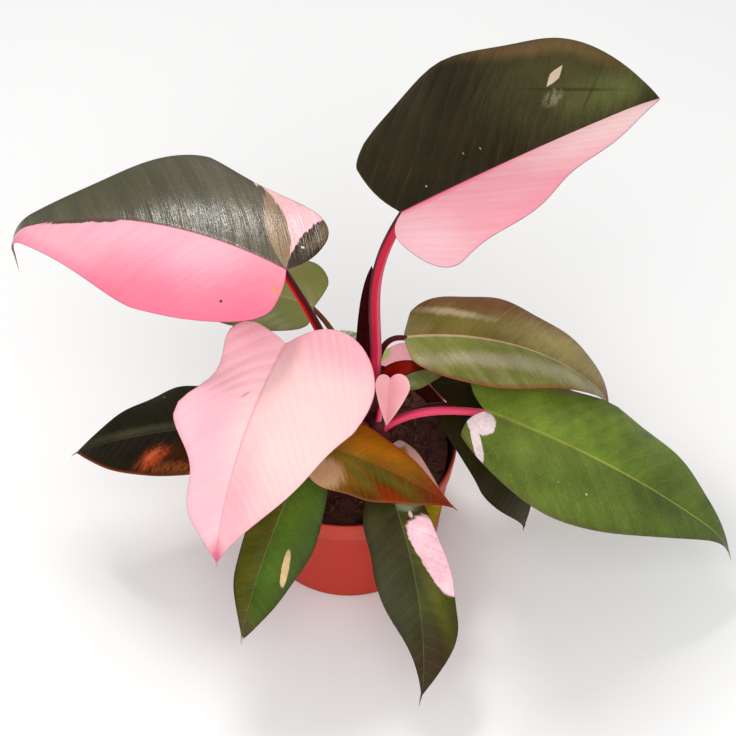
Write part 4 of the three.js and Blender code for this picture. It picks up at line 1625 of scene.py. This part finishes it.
def dark_pink_front() -> Leaf:
    """Returns the dark leaf over the pot's front, with a pink flank."""
    shape = LeafShape(
        "front", (22, -48, 100), -70, -8, 118, (20, 22.5), (4, 0), 60, height=86, sweep=-14, hook=15,
        widest=(0.62, 0.36), shoulder=(0.5, 0.5), belly=(0.35, 0.1), point=(0, 0),
        waves=((1, 0.02, 3, 0), (1, 0.1, 2, 50)), leave=(-60, 45), arrive=(-60, 5), petiole=(2.3, 1.6),
    )
    finish = BladeFinish(
        Tone("36380c", "404412", 0.8, "3c2a16", 3, 0.6),
        Tone("38361a", "424022", 0.7, "24220f", 4, 0.6),
        marks=(
            Patch("545416", (-9, 60), (3.4, 34), LEFT, 0.8, ragged=1, turn=12),
            Patch("363820", (10, 70), (9, 34), RIGHT, 0.5),
            Patch("f6c4ce", (-14.5, 40.5), (9, 22.5), LEFT, soft=0.05, ragged=0.2, turn=20, corner=3),
            Patch("8d9478", (-7, 8), (8, 7), LEFT, soft=0.3, ragged=0.8),
            Patch("e8b4bc", (-6, 17), (1, 2), LEFT, soft=0.3, ragged=0.6),
            Patch("301c0a", (-6, 94), (12, 16), share=0.85),
            Patch("2c221c", (0, 116), (6, 7), share=0.8, soft=0.8),
        ),
        midrib=("6c6e48", 0.45), rib=0.6, veins=("5c5c38", 0.22), under="6a4a40", edge="2e1c18",
        roughness=0.4, fleck_share=0.025, mottle=0.45, gloss=0.12,
    )
    return Leaf("leaf_dark_pink_front", shape, finish, MAROON, "leaf_olive_and_pink", spur=5)


def dark_left() -> Leaf:
    """Returns the near-black leaf low on the left, with burnt patches."""
    shape = LeafShape(
        "front", (-55, -8, 103), 180, -2, 98, (29.5, 33), (4, 8), 24, height=88, widest=(0.3, 0.27),
        shoulder=(0.6, 0.85), belly=(0.5, 0.45), point=(0.5, 0.27), fold=(8, 8), leave=(170, 45),
        arrive=(175, 5), petiole=(2.3, 1.6),
    )
    finish = BladeFinish(
        Tone("1a1402", "241e08", 0.7, "98381c", 1.8, 0.8),
        Tone("1e1a04", "28240c", 0.7, "2e2614", 3),
        marks=(
            Patch("5c5a44", (3, 52), (2.4, 36), RIGHT, 0.5, ragged=0.8),
            Patch("4a220c", (-21, 40), (11, 15), LEFT, 0.8, soft=0.7, ragged=1.6),
            Patch("b84a20", (-17, 49), (5, 9), LEFT, soft=0.5, ragged=2.2, turn=30, broken=0.7),
            Patch("dc6c44", (-15.5, 50), (1.6, 4.4), LEFT, 0.85, soft=0.8, ragged=1.4, turn=35),
            Patch("8c4a20", (-25, 37), (3.6, 12), LEFT, soft=0.5, ragged=2.2, turn=-6, broken=0.7),
        ),
        midrib=("5c563c", 0.5), rib=0.7, veins=("4a442c", 0.2), under="4a2a28", edge="5a241c", roughness=0.38,
        fleck_share=0.03, mottle=0.4, gloss=0.1,
    )
    return Leaf("leaf_dark_left", shape, finish, MAROON, "leaf_dark", spur=4)


def sheath_tall() -> Leaf:
    """Returns the dark sheath that stands beside the tallest petiole."""
    shape = LeafShape(
        "back", (8.7, 11.3, 106), 45, 86.5, 96, (6, 5), (0, 0), 0, roll=38, hook=0, widest=(0.2, 0.2),
        point=(1, 1), fold=(8, 0), cup=(-20, -20), waves=((0, 0, 2, 0), (0, 0, 2, 0)),
    )
    tone = Tone("2e0206", "40080c", 0.8, "24060a", 2, 0.8)
    finish = BladeFinish(
        tone, tone,
        midrib=("641620", 0.4), rib=0.6, veins=("6c2430", 0.1), under="4a1018", edge="1c0508", roughness=0.4,
        fleck_share=0, quilt=0.06, mottle=0.2, gloss=0.05,
    )
    return Leaf("sheath_tall", shape, finish, MAROON, "sheath_maroon", spur=0)


def sheath_red() -> Leaf:
    """Returns the brick-red sheath that bends over to the right."""
    shape = LeafShape(
        "back", (18.5, 7, 115.5), -12, 84, 37, (7, 7), (0, 0), 120, roll=20, hook=0, widest=(0.2, 0.2),
        fold=(30, 30), cup=(20, 20), waves=((0, 0, 2, 0), (0, 0, 2, 0)),
    )
    tone = Tone("8c1404", "700c02", 0.8, "4e0c08", 2.4, 0.8)
    finish = BladeFinish(
        tone, tone,
        marks=(Patch("3a0a06", (0, 0), (9, 7), soft=0.8), Patch("4a0c08", (0, 37), (9, 6), soft=0.8)),
        midrib=("7a1810", 0.4), rib=0.6, veins=("b03c24", 0.2), under="5a100c", edge="2c0606", roughness=0.36,
        fleck_share=0, quilt=0.06, mottle=0.25, gloss=0.05,
    )
    return Leaf("sheath_red", shape, finish, MAROON, "sheath_brick", spur=0)


@dataclass
class Plant:
    """The plant: its stems, its leaves and the sheaths of its newest leaves.

    Attributes:
        stems: The stems by name.
        leaves: The leaves and sheaths, from the top down.
    """

    stems: dict[str, StemShape] = field(default_factory=lambda: dict(STEMS))
    leaves: list[Leaf] = field(
        default_factory=lambda: [
            tall_right(), tall_left(), pink_front(), green_back(), bronze_right(), green_right(),
            dark_right(), pink_small(), pale_back(), pink_back(), bronze_front(), yellowing_front(),
            green_front(), dark_pink_front(), dark_left(), sheath_tall(), sheath_red(),
        ]
    )

    def build(self, effects: LeafEffects) -> None:
        """Builds every stem, leaf and sheath.

        Args:
            effects: The shared node groups.
        """
        for name, shape in self.stems.items():
            node = f"stem_{name}"
            keep(shape.build(f"{node}_grown", STEM_SKIN, effects), node)
        for number, leaf in enumerate(self.leaves):
            leaf.number = number
            node = leaf.name
            leaf.name = f"{node}_grown"
            keep(leaf.build(self.stems, effects), node)


def keep(piece: Object, node: str) -> None:
    """Lets a piece stand for its CAD node.

    Args:
        piece: The finished piece.
        node: The CAD node that it replaces.
    """
    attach(piece, "root")
    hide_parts(node)
    log.info("%s: %d faces", piece.name, len(piece.data.polygons))


# ---------------- pot and potting mix


@dataclass(frozen=True)
class PotFinish:
    """The pot's moulded plastic.

    Attributes:
        body: Colour of the wall.
        collar: Colour of the collar, painted lighter because it catches more light.
        inside: Colour of the inner wall, painted dark as the shade inside the pot.
        worn: Colour of its rubbed edges and dust.
        foot: Colour painted on the wall where it meets the ground, as the shade there.
        roughness: How dull it is.
    """

    body: str = "ae2208"
    collar: str = "b8341c"
    inside: str = "3c0c08"
    worn: str = "c85c48"
    foot: str = "5a1512"
    roughness: float = 0.46

    def material(self, collar_foot: float) -> Material:
        """Builds the plastic.

        Args:
            collar_foot: Height of the collar's lower edge, in metres.

        Returns:
            The material.
        """
        made = Surface("pot_plastic")
        place = made.place()
        x, y, z = made.split(place)
        blotches = made.cloud(place, 60.0, 4.0, 0.6)
        up = made.step(z, collar_foot - 0.0004, collar_foot + 0.0006)
        # painted light: the collar is painted lighter than the wall below it
        colour = made.mix(up, self.body, self.collar)
        colour = made.mix(made.step(blotches, 0.35, 0.8, 0.0, 0.12), colour, self.worn)
        # painted shade: the wall darkens over its lowest few millimetres, where it meets the ground
        colour = made.mix(made.step(z, 0.0035, 0.0, 0.0, 0.55), colour, self.foot)
        # painted shade: the inner wall and the inner floor are painted dark
        colour = made.mix(made.split(made.kept("pot_side"))[0], colour, self.inside)
        out_from = made.calc("SQRT", x * x + y * y)
        turn = made.calc("ARCTAN2", y, x)
        lines = made.cloud(made.join(turn * 30.0, z * 20.0, out_from), 2.0, 2.0)
        return made.finish(
            Base_Color=colour,
            Roughness=made.step(blotches, 0.3, 0.7, self.roughness - 0.05, self.roughness + 0.1),
            Normal=made.bump(made.cloud(place, 900.0, 2.0) * 0.5 + lines * 0.5, 0.00012),
            Specular_IOR_Level=0.25,
        )


@dataclass
class Pot:
    """The 12 cm nursery pot, in metres.

    Attributes:
        rim_radius: Outer radius of the rim.
        base_radius: Outer radius at the ground.
        height: Its height.
        wall: Thickness of the wall.
        floor: Thickness of the floor.
        collar: Height of the collar.
        collar_step: How far the collar stands out.
        holes: How many drainage holes.
        hole_radius: Their radius.
        hole_ring: Radius of the ring that they lie on.
        sides: Points round the pot.
        finish: Its plastic.
    """

    HOLE_SIDES = 24  # points round a drainage hole
    DISC_EDGE = 0.008  # how far the floor's disc reaches past the ring of holes
    WELD = 1e-6  # points closer than this become one
    HARD = 50.0  # edges that turn by more degrees aren't shaded smooth

    rim_radius: float = 0.060
    base_radius: float = 0.0515
    height: float = 0.082
    wall: float = 0.0016
    floor: float = 0.0024
    collar: float = 0.015
    collar_step: float = 0.0013
    holes: int = 8
    hole_radius: float = 0.0035
    hole_ring: float = 0.034
    sides: int = 128
    finish: PotFinish = field(default_factory=PotFinish)

    def wall_radius(self, z: float) -> float:
        """Returns the wall's outer radius below the collar, at a height."""
        top = self.rim_radius - self.collar_step
        return self.base_radius + (top - self.base_radius) * z / self.height

    def _arc(self, centre: Pair, radius: float, start: float, end: float, steps: int) -> list[Pair]:
        """Returns points of an arc in the pot's profile, with angles in degrees."""
        turns = np.radians(np.linspace(start, end, steps))
        return [(centre[0] + radius * cos(t), centre[1] + radius * sin(t)) for t in turns]

    def profile(self) -> list[Triple]:
        """Returns the pot's section from the outer floor round to the inner floor.

        Returns:
            Radius, height and 1 for the inner side of each point.
        """
        foot, top, rim = self.height - self.collar, self.height, self.rim_radius
        neck, disc = self.wall_radius(foot), self.hole_ring + self.DISC_EDGE
        heel, lip, inner_lip = 0.002, 0.0006, 0.0003
        outer: list[Pair] = [(disc, 0.0)]
        outer += self._arc((self.base_radius - heel, heel), heel, -90, 4, 8)
        outer += [(self.wall_radius(z), z) for z in np.linspace(0.012, foot - lip, 8)]
        outer += self._arc((neck, foot + lip), lip, -60, -20, 3)
        outer += self._arc((neck + self.collar_step - lip, foot + 0.0010), lip, -80, 0, 4)
        outer += [(rim - 0.0002, top - 0.0035), (rim, top - 0.0028)]
        outer += self._arc((rim - lip, top - lip), lip, 0, 90, 5)
        inner: list[Pair] = self._arc((rim - self.wall + inner_lip, top - inner_lip), inner_lip, 90, 180, 3)
        inner += [(neck - self.wall + self.collar_step, foot), (neck - self.wall, foot - 0.0015)]
        inner += [(self.wall_radius(self.floor) - self.wall - 0.001, self.floor), (disc, self.floor)]
        return [(r, z, 0.0) for r, z in outer] + [(r, z, 1.0) for r, z in inner]

    def _floor_disc(self, parts: MeshParts, z: float, inner: float, flip: bool) -> None:
        """Adds one face of the floor, with its drainage holes left open.

        Args:
            parts: The mesh that it joins.
            z: Height of this face.
            inner: 1 for the face inside the pot, which takes the painted shade.
            flip: Whether it faces up.
        """
        reach = self.hole_ring + self.DISC_EDGE
        outline = [Vector((cos(a), sin(a), 0)) * reach for a in self._turns(self.sides)]
        rings = [outline] + [[Vector((x, y, 0)) for x, y in self._hole(hole)] for hole in range(self.holes)]
        flat = [point for ring in rings for point in ring]
        points = np.array([[p.x, p.y, z] for p in flat])
        first = parts.block(points, edges=np.column_stack([np.full(len(flat), inner)] * 3))
        for a, b, c in tessellate_polygon(rings):
            normal = (flat[b] - flat[a]).cross(flat[c] - flat[a]).z
            corners = (a, b, c) if (normal > 0) == flip else (a, c, b)
            parts.face(tuple(first + corner for corner in corners))

    def _turns(self, count: int) -> Array:
        """Returns evenly spaced angles round a full turn."""
        return np.linspace(0, 2 * pi, count, endpoint=False)

    def _hole(self, number: int) -> list[Pair]:
        """Returns the points round a drainage hole."""
        turn = 2 * pi * (number + 0.5) / self.holes
        x, y = self.hole_ring * cos(turn), self.hole_ring * sin(turn)
        turns = self._turns(self.HOLE_SIDES)
        return [(x + self.hole_radius * cos(a), y + self.hole_radius * sin(a)) for a in turns]

    def build(self) -> Object:
        """Builds and dresses the pot.

        Returns:
            The pot, which stands for its CAD node.
        """
        parts = MeshParts()
        section = self.profile()
        turns = self._turns(self.sides)
        rings = [[(r * cos(a), r * sin(a), z) for a in turns] for r, z, _ in section]
        sides = [[(side, 0.0, 0.0)] * self.sides for _, _, side in section]
        first = parts.block(np.array(rings), edges=np.array(sides))
        parts.grid(first, len(section), self.sides, closed=True)
        self._floor_disc(parts, 0.0, 0.0, flip=False)
        self._floor_disc(parts, self.floor, 1.0, flip=True)
        for hole in range(self.holes):
            wall = np.array([[(x, y, z) for x, y in self._hole(hole)] for z in (0.0, self.floor)])
            parts.grid(parts.block(wall), 2, self.HOLE_SIDES, closed=True, flip=True)
        made = parts.piece("pot_moulded", self.finish.material(self.height - self.collar), weld=self.WELD)
        # pot_side marks the inner faces, which are painted in shade
        made.data.attributes["leaf_edge"].name = "pot_side"
        made.data.attributes.remove(made.data.attributes["leaf_place"])
        self._sharpen(made)
        return made

    def _sharpen(self, made: Object) -> None:
        """Marks the pot's hard corners, so that only its round ones are shaded smooth."""
        work = bmesh.new()
        work.from_mesh(made.data)
        for edge in work.edges:
            if len(edge.link_faces) == 2 and edge.calc_face_angle(0) > radians(self.HARD):
                edge.smooth = False
        work.to_mesh(made.data)
        work.free()


@dataclass(frozen=True)
class MixFinish:
    """Damp peat potting mix.

    Attributes:
        dark: Its darkest crumbs.
        light: Its lightest crumbs.
        speck: Its smallest grains.
        fibre: Colour of root and coir fibres.
        old_fibre: Colour of the rotted ones.
    """

    dark: str = "36170e"
    light: str = "643020"
    speck: str = "5c3a2c"
    fibre: str = "a07c60"
    old_fibre: str = "4a3026"

    def ground(self) -> Material:
        """Builds the crumbs' material.

        Returns:
            The material.
        """
        made = Surface("potting_mix")
        place = made.place()
        tint = made.split(made.kept("leaf_place"))[0]
        grain = made.cloud(place, 900.0, 4.0, 0.7)
        share = tint * 0.6 + made.cloud(place, 220.0, 3.0, 0.6) * 0.4
        colour = made.mix(made.step(share, 0.15, 0.8), self.dark, self.light)
        return made.finish(
            Base_Color=made.mix(made.step(grain, 0.62, 0.8, 0.0, 0.5), colour, self.speck),
            Roughness=made.step(grain, 0.3, 0.7, 0.7, 0.95),
            Normal=made.bump(grain, 0.0008),
        )

    def fibres(self) -> Material:
        """Builds the fibres' material.

        Returns:
            The material.
        """
        made = Surface("mix_fibre")
        grain = made.cloud(made.place(), 600.0, 3.0, 0.6)
        return made.finish(
            Base_Color=made.mix(made.step(grain, 0.3, 0.7), self.old_fibre, self.fibre),
            Roughness=made.step(grain, 0.3, 0.7, 0.6, 0.85),
            Normal=made.bump(grain, 0.0003),
        )


@dataclass
class PottingMix:
    """The mix that fills the pot, in metres.

    Attributes:
        pot: The pot that holds it.
        level: Height of the surface by the wall.
        crowning: How much higher it lies in the middle.
        relief: Height of its slow waves.
        crumbs: How many loose crumbs lie on it.
        strands: How many fibres lie on it.
        seed: Where its random draws start.
        finish: Its crumbs and fibres.
    """

    AIR = 0.00035  # between the mix and the pot
    RINGS, SIDES = 46, 120  # rings of points, and points round each
    STEPS = 9  # points along a fibre
    REACH = 0.053  # a fibre that ends farther out isn't laid

    pot: Pot
    level: float = 0.072
    crowning: float = 0.003
    relief: float = 0.0016
    crumbs: int = 900
    strands: int = 90
    seed: int = 12
    finish: MixFinish = field(default_factory=MixFinish)

    def surface(self, x: float, y: float) -> float:
        """Returns the height of the mix at a point, before its crumbs.

        Args:
            x: Distance to the right, in metres.
            y: Distance to the back.

        Returns:
            The height in metres.
        """
        reach = hypot(x, y) / self.pot.rim_radius
        u, v = x / MM, y / MM
        bumps = sin(0.21 * u + 0.6) * cos(0.17 * v - 0.4) + 0.6 * sin(0.47 * v + 0.33 * u)
        return self.level + (self.relief * bumps + self.crowning) * (1 - reach * reach)

    def _ground(self, parts: MeshParts) -> None:
        """Adds the rough surface and the mix's hidden sides and bottom."""
        rings, sides = self.RINGS, self.SIDES
        top = self.pot.wall_radius(self.pot.height - self.pot.collar - 0.002) - self.pot.wall - self.AIR
        low = self.pot.floor + self.AIR
        rows, tints = [], []
        for ring in range(rings + 2):
            share = max(0.004, min(ring / rings, 1.0))
            radius = top * share if ring <= rings else self.pot.wall_radius(low) - self.pot.wall - 0.0014
            row, tint = [], []
            for turn in np.linspace(0, 2 * pi, sides, endpoint=False):
                x, y = radius * cos(turn), radius * sin(turn)
                rough = noise.fractal(Vector((x, y, 0)) * 260, 0.8, 2.1, 4) * 0.0011
                row.append((x, y, self.surface(x, y) - 0.0004 + rough if ring <= rings else low))
                tint.append((0.5 + rough * 350, 0.0, 0.0))
            rows.append(row)
            tints.append(tint)
        first = parts.block(np.array(rows), np.array(tints))
        parts.grid(first, len(rows), sides, closed=True, flip=True)
        parts.face(tuple(range(first, first + sides)))
        last = first + (len(rows) - 1) * sides
        parts.face(tuple(range(last + sides - 1, last - 1, -1)))

    def _crumbs(self, parts: MeshParts, draw: np.random.Generator) -> None:
        """Scatters crumbs over the surface, most of them small.

        Args:
            parts: The mesh that they join.
            draw: The seeded random draws.
        """
        ball = bmesh.new()
        bmesh.ops.create_icosphere(ball, subdivisions=1, radius=1.0)
        corners = np.array([v.co for v in ball.verts])
        faces = [tuple(v.index for v in f.verts) for f in ball.faces]
        ball.free()
        reach = self.pot.wall_radius(self.level) - self.pot.wall - 0.003
        for _ in range(self.crumbs):
            radius = reach * sqrt(draw.random())
            turn = 2 * pi * draw.random()
            size = 0.0006 + 0.0022 * draw.random() ** 4
            x, y = radius * cos(turn), radius * sin(turn)
            knobs = 0.6 + 0.6 * draw.random((len(corners), 1))
            lump = corners * knobs * size * (0.6 + 0.8 * draw.random(3))
            lump = lump + np.array([x, y, self.surface(x, y) + 0.1 * size])
            tint = np.tile([draw.random(), 0.0, 0.0], (len(corners), 1))
            first = parts.block(lump, tint)
            for corner in faces:
                parts.face(tuple(first + k for k in corner))

    def _strands(self, parts: MeshParts, draw: np.random.Generator) -> None:
        """Lays thin bent fibres over the surface.

        Args:
            parts: The mesh that they join.
            draw: The seeded random draws.
        """
        for _ in range(self.strands):
            radius, turn = 0.05 * sqrt(draw.random()), 2 * pi * draw.random()
            way, bend = 2 * pi * draw.random(), draw.normal(0, 1.2)
            length = 0.004 + 0.012 * draw.random()
            x, y = radius * cos(turn), radius * sin(turn)
            line = []
            for step in np.linspace(0, 1, self.STEPS):
                arch = 0.0012 * sin(pi * step) * draw.random()
                line.append((x, y, self.surface(x, y) + 0.0004 + arch))
                x, y = x + length / self.STEPS * cos(way), y + length / self.STEPS * sin(way)
                way += bend / self.STEPS
            if hypot(x, y) < self.REACH:
                thick = 0.00012 + 0.0002 * draw.random()
                Rod(np.array(line), np.full(self.STEPS, thick), sides=5).add_to(parts, 1, LIGHT_SIDE)

    def build(self) -> Object:
        """Builds and dresses the mix.

        Returns:
            The mix, which stands for its CAD node.
        """
        draw = np.random.default_rng(self.seed)
        parts = MeshParts()
        self._ground(parts)
        self._crumbs(parts, draw)
        self._strands(parts, draw)
        return parts.piece("soil_crumbled", self.finish.ground(), self.finish.fibres())


# ---------------- studio


@dataclass(frozen=True)
class SoftLight:
    """A square soft light.

    Attributes:
        name: Its name.
        place: Where it stands, in metres.
        size: Its side.
        power: Its power in watts.
        tint: Its colour.
    """

    name: str
    place: Triple
    size: float
    power: float
    tint: Triple = (1.0, 1.0, 1.0)

    def build(self, aim: Vector) -> None:
        """Hangs the light so that it faces a point.

        Args:
            aim: The point that it lights.
        """
        data = bpy.data.lights.new(self.name, "AREA")
        data.shape = "SQUARE"
        data.size = self.size
        data.energy = self.power
        data.color = self.tint
        made = bpy.data.objects.new(self.name, data)
        made.location = self.place
        made.rotation_euler = (aim - Vector(self.place)).to_track_quat("-Z", "Y").to_euler()
        bpy.context.scene.collection.objects.link(made)


@dataclass
class Studio:
    """Camera, floor and lights.

    Attributes:
        camera_place: Where the camera stands, in metres.
        camera_tilt: Its tilt from straight down, in degrees.
        lens: Its focal length in millimetres.
        lights: The soft lights.
        air: Strength of the even light from all round.
    """

    camera_place: Triple = (0.011, -0.5494, 0.79587)
    camera_tilt: float = 40.0
    lens: float = 80.0
    lights: tuple[SoftLight, ...] = (
        SoftLight("key", (-0.25, 0.42, 1.35), 0.25, 6.0, (1.0, 0.99, 0.97)),
        SoftLight("front", (0.0, -1.0, 1.25), 1.2, 9.0),
        SoftLight("low front", (0.1, -1.4, 0.45), 1.0, 5.5),
    )
    air: float = 0.55

    def build(self) -> None:
        """Sets the studio up."""
        data = bpy.data.cameras.new("camera")
        data.lens = self.lens
        data.sensor_width = 36.0
        camera = bpy.data.objects.new("camera", data)
        camera.location = self.camera_place
        camera.rotation_euler = (radians(self.camera_tilt), 0, 0)
        bpy.context.scene.collection.objects.link(camera)
        bpy.context.scene.camera = camera
        bpy.context.scene.view_settings.view_transform = "Standard"
        for light in self.lights:
            light.build(Vector((0.0, 0.0, 0.1)))
        self._floor()
        self._air()

    @staticmethod
    def _floor() -> None:
        """Lays the pale floor, which isn't part of the plant."""
        made = Surface("studio_floor")
        tone = made.step(made.cloud(made.place(), 3.0), 0.2, 0.8)
        pale = made.mix(tone, (0.93, 0.93, 0.93, 1), (0.95, 0.95, 0.95, 1))
        material = made.finish(Base_Color=pale, Roughness=0.9, Specular_IOR_Level=0.1)
        mesh = bpy.data.meshes.new("studio_floor")
        mesh.from_pydata([(-6, -6, 0), (6, -6, 0), (6, 6, 0), (-6, 6, 0)], [], [(0, 1, 2, 3)])
        mesh.materials.append(material)
        floor = bpy.data.objects.new("studio_floor", mesh)
        bpy.context.scene.collection.objects.link(floor)

    def _air(self) -> None:
        """Fills the room with even white light."""
        world = bpy.data.worlds.new("studio_air")
        world.use_nodes = True
        sky = world.node_tree.nodes["Background"]
        sky.inputs["Color"].default_value = (1.0, 1.0, 1.0, 1.0)
        sky.inputs["Strength"].default_value = self.air
        bpy.context.scene.world = world


# ---------------- everything


def main() -> None:
    """Builds the studio, the pot, the mix and the plant."""
    logging.basicConfig(level=logging.INFO, format="%(name)s %(message)s")
    Studio().build()
    effects = LeafEffects()
    pot = Pot()
    keep(pot.build(), "pot")
    keep(PottingMix(pot).build(), "soil")
    Plant().build(effects)


if __name__ == "__main__":
    main()
